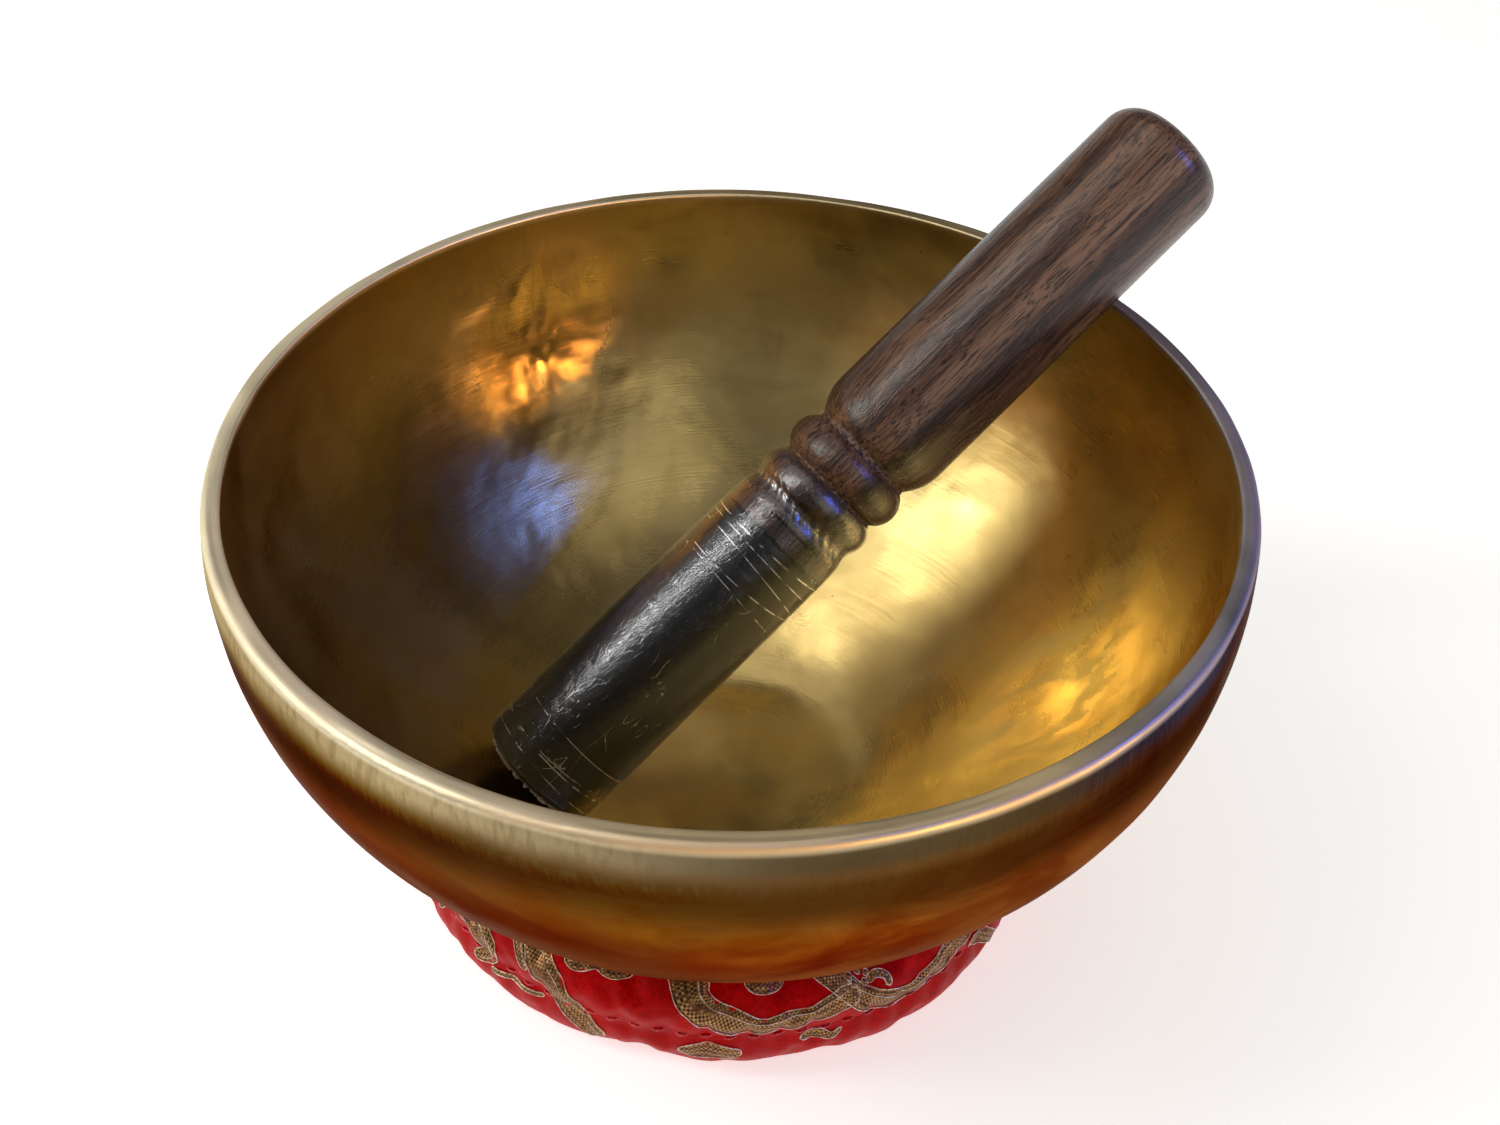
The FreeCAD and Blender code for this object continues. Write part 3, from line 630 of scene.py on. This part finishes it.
def film_profile():
    """The film's outside, from its gathered end over the sleeve to past the low bead's crest."""
    tip = (SLEEVE_TIP - SLEEVE_ROUND, SLEEVE_ROUND)
    neck = (NECK - NECK_CURVE, NECK_END)
    bead = (LOW_BEAD[0] - LOW_BEAD[1], LOW_BEAD[2])
    points = [FILM_HOLE] + straight(FILM_HOLE, FILM_FOLD, 0.35)
    points += straight(FILM_FOLD, (tip[0], -FILM_OFF), 0.35)
    points += arc(tip, SLEEVE_ROUND + FILM_OFF, -90, 0, 0.25)[1:]
    points += straight(points[-1], (SLEEVE_NECK + FILM_OFF, SLEEVE_LENGTH), 0.6)
    points += straight(points[-1], (NECK + FILM_OFF, NECK_END), 0.4)
    points += arc(neck, NECK_CURVE + FILM_OFF, 0, FILM_ON_NECK, 0.35)[1:]
    points += straight(points[-1], FILM_CREASE, 0.3)
    over_bead = arc(bead, LOW_BEAD[1] + FILM_OFF, *FILM_ON_BEAD, 0.35)
    points += straight(points[-1], over_bead[0], 0.3)
    return points + over_bead[1:]


def film_wobble(profile, turn):
    """Shrink wrinkles: gathers at the open end, a pucker under the bead, ripples between."""
    x, y, z = on_skin(profile, turn)
    end = np.clip(-z / 1.5, 0, 1)
    gathers = end * (0.40 * np.cos(23 * turn + 1.3 * np.sin(3 * turn)) + 0.22 * np.cos(41 * turn + z))
    pucker = 0.16 * np.cos(29 * turn + 2 * np.sin(2 * turn) + z * 1.5) + 0.1
    crease = np.exp(-((z - PUCKER_AT) / 1.5) ** 2) * pucker
    wrap = np.clip(z / 2.0, 0, 1) * np.clip((NECK_END - z) / 2.0, 0, 1)
    ripples = 0.022 * waves(x, y, z * 2.6, 6.0, 16)
    ripples = wrap * (ripples + 0.012 * waves(x, y, z * 5.0, 5.0, 16))
    return np.maximum(gathers + crease + ripples, -0.06 - 0.3 * end)


def film_paint():
    """Clear shrink film: only its gloss shows, with wound lines at both ends and scratches."""
    p = Paint("clear_film")
    place = p.position()
    x, _, z = p.parts(place)
    lines = None
    for at, lean, width in WOUND_LINES:
        off = p.gap(p.plus(z, p.times(x, lean)), at)
        line = p.fit(off, width * 1.6, width * 0.4)
        lines = line if lines is None else p.larger(lines, line)
    lines = p.times(lines, p.fit(p.noise(place, 260.0, 3.0), 0.42, 0.56))
    wander = p.noise(p.stretch(place, 0.30), 170.0, 2.0, 0.5, 0.6)
    scratch = p.fit(p.gap(wander, 0.5), 0.0060, 0.0015)
    scratch = p.times(scratch, p.fit(p.noise(place, 150.0, 4.0, 0.7), 0.50, 0.58))
    gloss = p.times(p.node("Fresnel", {"IOR": 1.45}), 2.3)
    marks = p.larger(p.times(lines, 0.65), p.times(scratch, 0.50))
    gather = p.fit(z, 0.0, -0.0018, 0.0, 0.70)
    crease = p.times(p.fit(p.gap(z, PUCKER_AT * MM), 0.0016, 0.0), 0.14)
    alpha = p.plus(p.plus(gloss, marks), p.plus(gather, crease), clamp=True)
    p.set(Base_Color=(0.90, 0.90, 0.96), Metallic=p.fit(z, -0.0018, -0.0004), Alpha=alpha)
    p.set(Roughness=p.plus(0.04, p.times(marks, 0.5)))
    crumple = p.noise(p.stretch(place, 0.7), 760.0, 4.0, 0.7, 0.6)
    worn_skin = p.noise(p.stretch(place, 0.4), 1500.0, 2.0)
    p.set(Normal=p.bump(worn_skin, 0.34, 0.0003, p.bump(crumple, 0.28, 0.0005)))
    return p


def make_mallet():
    turned_piece("mallet_stick", handle_profile(), MALLET_AROUND, wood_wobble,
                 "rosewood", wood_paint(), "mallet_handle")
    turned_piece("leather_tube", sleeve_profile(), MALLET_AROUND, creases,
                 "black_leather", leather_paint(), "leather_sleeve")
    turned_piece("clear_shrink_film", film_profile(), FILM_AROUND, film_wobble,
                 "clear_film", film_paint(), "shrink_film")


# ------------------------ ring cushion
def meeting_point(centre_a, reach_a, centre_b, reach_b, side):
    """The point at reach_a from centre_a and reach_b from centre_b, on one side of their line."""
    across, up = centre_b[0] - centre_a[0], centre_b[1] - centre_a[1]
    apart = hypot(across, up)
    along = (reach_a ** 2 - reach_b ** 2 + apart ** 2) / (2 * apart)
    off = side * sqrt(reach_a ** 2 - along ** 2)
    return (centre_a[0] + (along * across - off * up) / apart,
            centre_a[1] + (along * up + off * across) / apart)


def on_seat(across, curve):
    """The centre of an arc of this curve that touches the hollow that the bowl presses."""
    reach = BODY[2] + SEAT_GAP + curve
    return (across, BODY[1] - sqrt(reach ** 2 - (across - BODY[0]) ** 2))


def even(points, count):
    """The same path with count evenly spaced points."""
    length = run_of(points)
    at = np.linspace(0, length[-1], count)
    return np.stack([np.interp(at, length, column) for column in np.array(points).T], -1), at


def ring_section():
    """The upper and lower halves of the ring's section, each from the outer to the inner seam."""
    crown, roll = on_seat(*CROWN), on_seat(*INNER_ROLL)
    # A foot's centre stands as high above the table as its curve, so the pair is also its place
    outer_seam = meeting_point(crown, CROWN[1], OUTER_FOOT, OUTER_FOOT[1], 1)
    inner_seam = meeting_point(roll, INNER_ROLL[1], INNER_FOOT, INNER_FOOT[1], -1)
    seat = BODY[2] + SEAT_GAP
    upper = arc(crown, CROWN[1], heading(crown, outer_seam), heading(crown, BODY), 0.3)
    upper += arc(BODY, seat, heading(BODY, crown), heading(BODY, roll), 0.3)[1:]
    last = heading(roll, inner_seam) % 360
    upper += arc(roll, INNER_ROLL[1], heading(roll, BODY), last, 0.3)[1:]
    lower = arc(OUTER_FOOT, OUTER_FOOT[1], heading(OUTER_FOOT, outer_seam), -90, 0.3)
    lower += straight(lower[-1], (INNER_FOOT[0], 0.0), 0.3)
    last = heading(INNER_FOOT, inner_seam) % 360
    lower += arc(INNER_FOOT, INNER_FOOT[1], 270, last, 0.3)[1:]
    return upper, lower


AROUND, UPPER_ROWS, LOWER_ROWS = 288, 34, 32
SEAM_RADIUS = 75.0
SECTION_MIDDLE = (58.5, 12.5)
SLACK = 0.55  # how far inside the ring's outline the unfilled cloth starts
PULL_IN = 0.35  # how much further inside the seams sit
PLEATS, PLEAT_DEPTH = 61, 0.25
PRESSURE, SHRINK, STRETCH_STIFFNESS, BEND_STIFFNESS = 150.0, -0.03, 8, 0.05
CLOTH_QUALITY, LAST_FRAME = 4, 20
STUFFED_CAP = 1.6  # how far the stuffing may push a point
ABOVE_TABLE, PRESSED_IN, RING_LIMITS = 0.03, 0.05, (43.6, 76.6)
# Soft dips in the ring's outline: degrees round it, mm deep, degrees wide, and which half
DIPS = ((-104, 1.3, 9, "lower"), (-79, 0.9, 8, "lower"), (-36, 2.0, 15, "both"),
        (40, 1.0, 14, "both"), (95, 0.9, 12, "lower"), (150, 1.1, 15, "both"))


def stuffed_ring():
    """Blows the sewn ring up with a cloth simulation, then keeps it off the bowl and the table."""
    halves = ring_section()
    upper, upper_at = even(halves[0], UPPER_ROWS)
    lower, lower_at = even(halves[1], LOWER_ROWS)
    section = np.concatenate([upper, lower[-2:0:-1]])
    rows = len(section)
    inward = unit(np.array(SECTION_MIDDLE) - section)
    row = np.arange(rows)
    near = np.minimum(np.minimum(row, np.abs(row - (UPPER_ROWS - 1))), rows - row)
    section = section + inward * (SLACK + PULL_IN * np.exp(-(near / 1.1) ** 2))[:, None]
    turn = circle(AROUND)
    pleats = PLEAT_DEPTH * np.cos(PLEATS * turn + 2 * np.sin(5 * turn))
    pleats = np.exp(-(near / 2.2) ** 2)[:, None] * pleats
    r, z = [section[:, None, i] + pleats * inward[:, None, i] for i in (0, 1)]
    start = np.stack([r * np.cos(turn), r * np.sin(turn), z], -1) * MM
    ring = grid_object("ring", start, close_along=True)
    points = blow_up(ring, start)
    bpy.data.objects.remove(ring)
    return settle(points / MM, rows, upper_at, lower_at, turn)


def blow_up(ring, start):
    """The ring's points after the cloth simulation, with the seams held where they are."""
    index = np.arange(start[..., 0].size).reshape(start.shape[:2])
    pins = ring.vertex_groups.new(name="seams")
    pins.add(index[[0, UPPER_ROWS - 1]].ravel().tolist(), 1.0, "REPLACE")
    cloth = ring.modifiers.new("Cloth", "CLOTH")
    settings = cloth.settings
    settings.vertex_group_mass = "seams"
    settings.use_pressure = True
    settings.uniform_pressure_force = PRESSURE
    settings.shrink_min = SHRINK
    settings.quality = CLOTH_QUALITY
    settings.bending_stiffness = BEND_STIFFNESS
    settings.tension_stiffness = settings.compression_stiffness = STRETCH_STIFFNESS
    settings.effector_weights.gravity = 0.0
    cloth.point_cache.frame_start = 1
    cloth.point_cache.frame_end = LAST_FRAME
    for step in range(1, LAST_FRAME + 1):
        bpy.context.scene.frame_set(step)
    seen = ring.evaluated_get(bpy.context.evaluated_depsgraph_get())
    blown = np.zeros(start.size)
    seen.data.vertices.foreach_get("co", blown)
    bpy.context.scene.frame_set(1)
    moved = blown.reshape(start.shape) - start
    far = np.linalg.norm(moved, axis=-1, keepdims=True)
    return start + moved * np.minimum(1.0, STUFFED_CAP * MM / np.maximum(far, 1e-9))


def settle(points, rows, upper_at, lower_at, turn):
    """Dips, then the limits: outside the bowl's hollow, above the table, within the outline."""
    r = np.hypot(points[..., 0], points[..., 1])
    z = points[..., 2]
    angle = np.degrees(turn)[None, :]
    upper_half = (np.arange(rows) < UPPER_ROWS)[:, None]
    for at, deep, wide, half in DIPS:
        off = (angle - at + 180) % 360 - 180
        dip = deep * np.exp(-(off / wide) ** 2) * np.clip((r - 60) / 10, 0, 1)
        r = r - np.where(upper_half & (half == "lower"), dip * 0.25, dip)
    away = np.hypot(r - BODY[0], z - BODY[1])
    least = BODY[2] + SEAT_GAP - PRESSED_IN
    push = np.maximum(least / away, 1.0)
    r = BODY[0] + (r - BODY[0]) * push
    z = BODY[1] + (z - BODY[1]) * push
    z = np.maximum(z, ABOVE_TABLE)
    r = np.clip(r, *RING_LIMITS)
    points = np.stack([r * np.cos(turn), r * np.sin(turn), z], -1)
    upper = points[:UPPER_ROWS]
    lower = np.concatenate([points[:1], points[:UPPER_ROWS - 2:-1]])
    return upper, upper_at, lower, lower_at


class Panel:
    """One simulated panel: its points by distance from the outer seam and angle round it."""

    def __init__(self, points, at):
        self.points, self.at = points, at
        along = np.gradient(points, axis=0)
        round_ = np.roll(points, -1, 1) - np.roll(points, 1, 1)
        self.normals = unit(np.cross(round_, along))

    def look_up(self, degrees, distance):
        """The cloth's point and its outward direction at each place."""
        row = np.clip(np.asarray(distance) / (self.at[1] - self.at[0]), 0, len(self.at) - 1.001)
        col = (np.asarray(degrees) % 360) / 360 * AROUND
        r0, c0 = np.floor(row).astype(int), np.floor(col).astype(int)
        fr, fc = (row - r0)[..., None], (col - c0)[..., None]
        c0, c1 = c0 % AROUND, (c0 + 1) % AROUND
        return [(table[r0, c0] * (1 - fc) + table[r0, c1] * fc) * (1 - fr)
                + (table[r0 + 1, c0] * (1 - fc) + table[r0 + 1, c1] * fc) * fr
                for table in (self.points, self.normals)]


class Cushion:
    """Both panels as one surface: distances go up from the outer seam, or down if negative."""

    def __init__(self):
        upper, upper_at, lower, lower_at = stuffed_ring()
        self.upper, self.lower = Panel(upper, upper_at), Panel(lower, lower_at)
        self.lower.normals = -self.lower.normals

    def place(self, degrees, distance, lift):
        """The points that stand off the cloth by lift, in mm."""
        degrees, distance = np.broadcast_arrays(degrees, distance)
        up, far = (distance >= 0)[..., None], np.abs(distance)
        both = zip(self.upper.look_up(degrees, far), self.lower.look_up(degrees, far))
        spot, out = [np.where(up, above, below) for above, below in both]
        return spot + unit(out) * lift[..., None]


def brocade_paint():
    """Red satin: a fine slanting weave, slubs, and broad darker clouds."""
    p = Paint("brocade")
    uv = p.node("UVMap")
    u, v, _ = p.parts(uv)
    place = p.position()
    slant = p.plus(u, p.times(v, 0.6))
    threads = p.stripes(slant, 0.42)
    across = p.stripes(v, 0.36)
    weave = p.times(threads, p.plus(0.6, p.times(across, 0.4)))
    mottle = p.noise(place, 900.0, 3.0, 0.7)
    broad = p.noise(place, 60.0, 3.0, 0.5)
    colour = p.mix(p.fit(mottle, 0.35, 0.7), (0.36, 0.0003, 0.0012), (0.55, 0.001, 0.002))
    colour = p.mix(p.fit(broad, 0.4, 0.7, 0.0, 0.4), colour, (0.27, 0.0003, 0.001))
    p.set(Base_Color=colour, Roughness=p.fit(mottle, 0.3, 0.7, 0.38, 0.55))
    p.set(Specular_IOR_Level=0.22, Specular_Tint=(1.0, 0.12, 0.08))
    slubs = p.noise(p.stretch(uv, 1.0, 0.5, 2.0), 1.6, 4.0, 0.6)
    p.set(Normal=p.bump(weave, 0.22, 0.0001, p.bump(slubs, 0.25, 0.0007)))
    return p


def make_panels(cushion, paint):
    seam_run = np.arange(AROUND) / AROUND * TURN * SEAM_RADIUS
    for name, panel, sign, nodes in (
            ("cushion_upper_panel", cushion.upper, 1, ("cushion_cover_upper", "cushion_stuffing")),
            ("cushion_lower_panel", cushion.lower, -1, ("cushion_cover_lower",))):
        uv = paired(seam_run[None, :], sign * panel.at[:, None])
        made = grid_object(name, panel.points[:, ::sign] * MM, uv=uv[:, ::sign])
        smooth = made.modifiers.new("Subdivision", "SUBSURF")
        smooth.levels = smooth.render_levels = 1
        finish_piece(made, "cushion", "brocade", paint, *nodes)


# The woven pattern, ribbon by ribbon: degrees round the ring, mm up from the outer seam, mm wide
RIBBONS = (
    ((-146, -1.5, 3.0), (-143.2, 3.6, 3.4), (-139.4, 6.9, 3.8), (-135.6, 7.2, 4.2), (-132.4, 5.4, 5.2),
     (-130.9, 2.4, 5.6), (-131.8, -0.8, 4.0), (-134.4, -2.6, 2.0)),
    ((-130.5, -3.0, 1.2), (-127, -2.0, 1.2), (-123.4, -1.8, 1.1), (-119.8, -1.6, 1.0)),
    ((-127, 18, 6.0), (-124.2, 13.5, 6.5), (-121.6, 9.4, 6.8), (-118.9, 5.8, 6.4), (-116.4, 2.2, 5.8),
     (-114.4, -1.2, 5.2), (-112, -4.4, 4.6), (-109.6, -8, 4.0)),
    ((-127.8, 12.6, 1.8), (-126, 10.6, 2.6), (-124.4, 8.0, 2.4), (-122.8, 5.0, 1.4)),
    ((-117.2, 12.8, 3.0), (-114.6, 12.3, 4.4), (-111.6, 13.4, 3.6), (-108.6, 13.0, 4.8),
     (-105.2, 14.4, 3.4)),
    ((-97.6, 19, 8.0), (-96, 14.6, 8.4), (-95, 10.4, 7.8), (-92.8, 7.5, 7.2), (-90, 5.8, 6.6),
     (-87, 4.5, 6.2), (-83.6, 3.8, 4.2), (-80.4, 4.6, 4.8), (-76.8, 5.3, 3.8), (-73.4, 6.5, 4.6),
     (-70.4, 7.7, 5.0), (-68.6, 9.2, 3.6)),
    ((-86.6, 14.4, 2.4), (-84.6, 13.1, 3.6), (-82.4, 13.1, 3.6), (-80.2, 14.6, 2.4)),
    ((-74.8, 17.5, 6.4), (-72.8, 14.2, 6.2), (-71.2, 11.2, 5.4), (-69.4, 8.2, 5.2), (-67.2, 5.4, 5.4),
     (-64.6, 3.3, 5.8), (-61.6, 2.2, 5.8), (-58.4, 2.6, 5.0), (-55.2, 3.8, 5.2), (-52, 5.5, 4.6),
     (-48.4, 6.9, 4.6), (-44.6, 7.2, 3.4)),
    ((-66.6, 8.8, 1.4), (-65.2, 10.3, 1.6), (-63.5, 9.2, 1.5), (-63.2, 6.9, 1.3)),
    ((-97, -5.4, 2.6), (-94, -4.5, 4.0), (-90.6, -4.3, 4.4), (-87.2, -5.5, 3.0)),
    ((-78, -2.6, 1.6), (-75.2, -1.8, 2.4), (-73.2, -3.0, 1.6), (-71.2, -2.2, 1.0)),
    ((-46, 3.6, 3.4), (-43, 0.6, 4.2), (-40, -3.0, 3.6), (-37.6, -6.4, 2.6)),
)
PATTERN_TURNS = (0, 120, 240)
MM_PER_DEGREE = 1.31  # round the outer seam
# The knot where two ribbons cross: plump stitches, in degrees and mm up from the outer seam
KNOT = ((-69.6, 11.4), (-68.0, 12.0), (-66.5, 10.9), (-67.2, 9.3), (-69.0, 9.7))
KNOT_STITCH = 1.9
RIBBON_PLUMP, KNOT_PLUMP, SUNK = 0.30, 0.75, 0.06  # mm above the cloth, and edges below it
EDGE_THREAD, EDGE_LIFT = 0.145, 0.14
INNER_THREAD, INNER_LIFT, INNER_FROM = 0.12, 0.28, 5.0  # only in ribbons wider than this
BEAD_PITCH = 0.62


def smooth_path(points, step):
    """A Catmull-Rom curve through the points, width and all, in mm, sampled every step mm."""
    scale = np.array([MM_PER_DEGREE, 1.0, 1.0])
    held = np.array(points, float) * scale
    held = np.concatenate([[2 * held[0] - held[1]], held, [2 * held[-1] - held[-2]]])
    path = []
    for a, b, c, d in zip(held, held[1:], held[2:], held[3:]):
        for t in np.linspace(0, 1, 30, endpoint=False):
            path.append(0.5 * (2 * b + (c - a) * t + (2 * a - 5 * b + 4 * c - d) * t * t
                               + (3 * b - a - 3 * c + d) * t ** 3))
    path.append(held[-2])
    path, at = even(path, max(4, int(run_of(path)[-1] / step)))
    centre = path[:, :2]
    return centre, left_of(centre), at, path[:, 2]


def swell(at, width):
    """The ribbon's width along its run: rounded ends and a gentle in and out."""
    total = at[-1]
    end = np.minimum(at, total - at)
    rounded = np.sqrt(np.clip(1 - (1 - np.minimum(end / (width / 2), 1)) ** 2, 0.0, 1))
    return width * np.maximum(rounded, 0.08) * (1 + 0.05 * np.sin(at / 2.3))


def make_ribbons(cushion):
    """Raised gold ribbons with a beaded edge thread, following the simulated cloth."""
    gold, edge = ribbon_paint(), edge_paint()
    bands, threads = [], []
    knot = tuple(((a - 0.5, up, KNOT_STITCH), (a + 0.5, up + 0.3, KNOT_STITCH)) for a, up in KNOT)
    for turn in PATTERN_TURNS:
        for path in RIBBONS + knot:
            centre, side, at, width = smooth_path(path, 0.45)
            wide = swell(at, width)
            plump = KNOT_PLUMP if path in knot else RIBBON_PLUMP
            share = np.linspace(-1, 1, 13)
            flat = centre[:, None] + side[:, None] * (share[None, :, None] * wide[:, None, None] / 2)
            degrees = flat[..., 0] / MM_PER_DEGREE + turn
            lift = plump * (1 - np.abs(share) ** 3.0)[None, :] - SUNK + 0 * wide[:, None]
            points = cushion.place(degrees, flat[..., 1], lift)
            bands.append((points * MM, paired(at[:, None], share[None, :] * wide[:, None] / 2)))
            half = side * wide[:, None] / 2
            outline = np.concatenate([centre + half, (centre - half)[::-1]])
            threads.append(thread_points(cushion, outline, turn, EDGE_THREAD, EDGE_LIFT, True))
            if width.max() > INNER_FROM:
                inner = centre[4:-4] + side[4:-4] * wide[4:-4, None] * 0.22
                threads.append(thread_points(cushion, inner, turn, INNER_THREAD, INNER_LIFT, False))
    join_grids("brocade_ribbons", bands, gold, "brocade", closed=False)
    join_grids("brocade_edge_threads", threads, edge, "brocade", closed=True)


def thread_points(cushion, outline, turn, radius, lift, closed):
    """A beaded thread along an outline: rings of points, thick and thin by turns."""
    path, at = even(np.concatenate([outline, outline[:1]]) if closed else outline,
                    max(8, int(run_of(outline)[-1] / 0.17)))
    side = left_of(path)
    thick = radius * (0.62 + 0.38 * np.abs(np.sin(at * pi / BEAD_PITCH)))
    angle = circle(6)
    flat = path[:, None] + side[:, None] * (np.cos(angle)[None, :, None] * thick[:, None, None])
    above = lift + np.sin(angle)[None, :] * thick[:, None]
    points = cushion.place(flat[..., 0] / MM_PER_DEGREE + turn, flat[..., 1], above)
    return points * MM, paired(at[:, None], angle[None, :])


def join_grids(name, grids, paint, slot_name, closed, nodes=()):
    """Several strips or tubes as one piece of the cushion."""
    made = [grid_object(name + str(i), points, close_round=closed, uv=uv)
            for i, (points, uv) in enumerate(grids)]
    with bpy.context.temp_override(active_object=made[0], selected_editable_objects=made):
        bpy.ops.object.join()
    made[0].name = name
    made[0].data.name = name
    finish_piece(made[0], "cushion", slot_name, paint, *nodes)


def ribbon_paint():
    """Gold weft floats: metallic threads laid side by side, with short slanting stitches."""
    p = Paint("gold_weave")
    u, v, _ = p.parts(p.node("UVMap"))
    place = p.position()
    slant = p.plus(u, p.times(v, 0.9))
    hatch = p.stripes(slant, 0.95)
    along = p.stripes(v, 1.15)
    mottle = p.noise(place, 900.0, 3.0, 0.7)
    shade = p.plus(p.times(along, 0.30), p.times(hatch, 0.60))
    shade = p.plus(shade, p.times(p.minus(mottle, 0.5), 1.8))
    colour = p.ramp(p.fit(shade, -1.0, 1.0, smooth=False), [
        (0.15, (0.030, 0.009, 0.005)),
        (0.5, (0.15, 0.055, 0.017)),
        (0.85, (0.52, 0.27, 0.075)),
    ])
    p.set(Base_Color=colour, Metallic=0.6, Roughness=0.40)
    p.set(Normal=p.bump(shade, 0.6, 0.00015))
    return p


def edge_paint():
    p = Paint("pale_thread")
    mottle = p.noise(p.position(), 900.0, 2.0)
    p.set(Base_Color=p.mix(p.fit(mottle, 0.35, 0.65), (0.45, 0.31, 0.17), (0.82, 0.72, 0.60)))
    p.set(Metallic=0.6, Roughness=0.3)
    return p


STITCH_SHARE = 0.55  # part of each stitch's pitch that shows
STITCH_RADIUS = 0.27
UP = np.array([0, 0, 1.0])


def make_stitches(cushion, paint):
    """Slip stitches pulled into both seams, following the cloth."""
    panel = cushion.upper
    share = np.linspace(0, STITCH_SHARE, 7)
    slope = (share / STITCH_SHARE - 0.5) * 0.5
    sag = 0.25 - 0.5 * (2 * share / STITCH_SHARE - 1) ** 2
    angle = circle(8)
    uv = paired(share[:, None] * 4, angle[None, :])
    for name, count, seam, outward, node in (
            ("outer_seam_stitches", 96, panel.at[0], 1, "outer_seam_thread"),
            ("inner_seam_stitches", 56, panel.at[-1], -1, "inner_seam_thread")):
        rods = []
        pitch = 360.0 / count
        for i in range(count):
            degrees = i * pitch + share * pitch
            spot = panel.look_up(degrees, np.full(7, seam))[0]
            at = np.radians(degrees)
            radial = np.stack([np.cos(at), np.sin(at), 0 * at], -1)
            middle = spot + radial * outward * (sag + 0.12)[:, None] + UP * slope[:, None]
            ring = radial[:, None] * np.cos(angle)[None, :, None] + UP * np.sin(angle)[None, :, None]
            rods.append(((middle[:, None] + ring * STITCH_RADIUS) * MM, uv))
        join_grids(name, rods, paint, "red_thread", closed=True, nodes=(node,))


def thread_paint():
    p = Paint("red_thread")
    u, v, _ = p.parts(p.node("UVMap"))
    twist = p.math("SINE", p.plus(p.times(u, 28.0), v))
    colour = p.mix(p.fit(twist, -1, 1), (0.35, 0.004, 0.008), (0.75, 0.03, 0.04))
    p.set(Base_Color=colour, Roughness=0.35)
    p.set(Normal=p.bump(twist, 0.4, 0.0001))
    return p


def make_cushion():
    cushion = Cushion()
    make_panels(cushion, brocade_paint())
    make_ribbons(cushion)
    make_stitches(cushion, thread_paint())


# ------------------------ stage
FLOOR_HALF = 8.0
HORIZON_GREY, WORLD_GREY = 0.80, 0.10
BOWL_MIDDLE = Vector((0, 0, 0.06))


def make_stage():
    """A pale floor under a grey sky that is brighter near the horizon."""
    rows = [[(x, y, 0) for x in (-FLOOR_HALF, FLOOR_HALF)] for y in (-FLOOR_HALF, FLOOR_HALF)]
    floor = grid_object("floor", np.array(rows, float), close_round=False)
    paint = Paint("pale_floor")
    paint.set(Base_Color=(0.90, 0.90, 0.90), Roughness=0.9)
    paint.set(Emission_Color=(1.0, 1.0, 1.0), Emission_Strength=0.60)
    floor.data.materials.append(paint.material)
    world = bpy.data.worlds.new("World")
    world.use_nodes = True
    tree = world.node_tree
    where = tree.nodes.new("ShaderNodeTexCoord")
    split = tree.nodes.new("ShaderNodeSeparateXYZ")
    ramp = tree.nodes.new("ShaderNodeValToRGB")
    ramp.color_ramp.interpolation = "EASE"
    stops = ((0.03, HORIZON_GREY), (0.35, WORLD_GREY))
    for element, (place, grey) in zip(ramp.color_ramp.elements, stops):
        element.position = place
        element.color = (grey, grey, grey, 1)
    tree.links.new(where.outputs["Generated"], split.inputs[0])
    tree.links.new(split.outputs[2], ramp.inputs[0])
    tree.links.new(ramp.outputs[0], tree.nodes["Background"].inputs[0])
    bpy.context.scene.world = world
    return floor


def add_light(name, azimuth, elevation, reach, size, radiance, colour):
    """A softbox of that brightness that looks at the bowl's middle from that direction."""
    data = bpy.data.lights.new(name, "AREA")
    data.shape = "RECTANGLE"
    data.size, data.size_y = size
    data.energy = radiance * pi * size[0] * size[1]
    data.color = colour
    made = add_object(name, data)
    turn, rise = radians(azimuth), radians(elevation)
    way = Vector((cos(turn) * cos(rise), sin(turn) * cos(rise), sin(rise)))
    made.location = BOWL_MIDDLE + way * reach
    made.rotation_mode = "QUATERNION"
    made.rotation_quaternion = (-way).to_track_quat("-Z", "Y")
    return made


def link_light(light, piece, state):
    """A coloured light that leaves one piece out, or that falls on one piece only."""
    linked = bpy.data.collections.new(light.name + "_linked")
    linked.objects.link(piece)
    light.light_linking.receiver_collection = linked
    linked.collection_objects[0].light_linking.link_state = state


make_camera()
floor = make_stage()
add_light("key", -174, 32, 1.4, (0.30, 0.74), 8.0, (0.97, 1.0, 0.96))
add_light("key_top", -171, 57, 1.4, (0.26, 0.62), 4.8, (1.0, 0.98, 0.93))
add_light("key_glow", -172, 38, 1.5, (1.5, 1.3), 0.45, (1.0, 0.96, 0.90))
add_light("front", -50, 38, 1.6, (1.5, 1.1), 0.65, (1.0, 0.95, 0.86))
lamp = add_light("lamp", -42, 14, 1.2, (0.36, 0.20), 38.0, (1.0, 0.52, 0.17))
window = add_light("window", -20, 38, 1.2, (0.20, 0.26), 22.0, (0.04, 0.14, 1.0))
link_light(window, floor, "EXCLUDE")
add_light("ceiling", 150, 78, 1.7, (1.6, 1.6), 0.75, (1.0, 0.98, 0.95))
link_light(lamp, make_bowl(), "INCLUDE")
make_mallet()
make_cushion()
bpy.context.scene.view_settings.view_transform = "Standard"
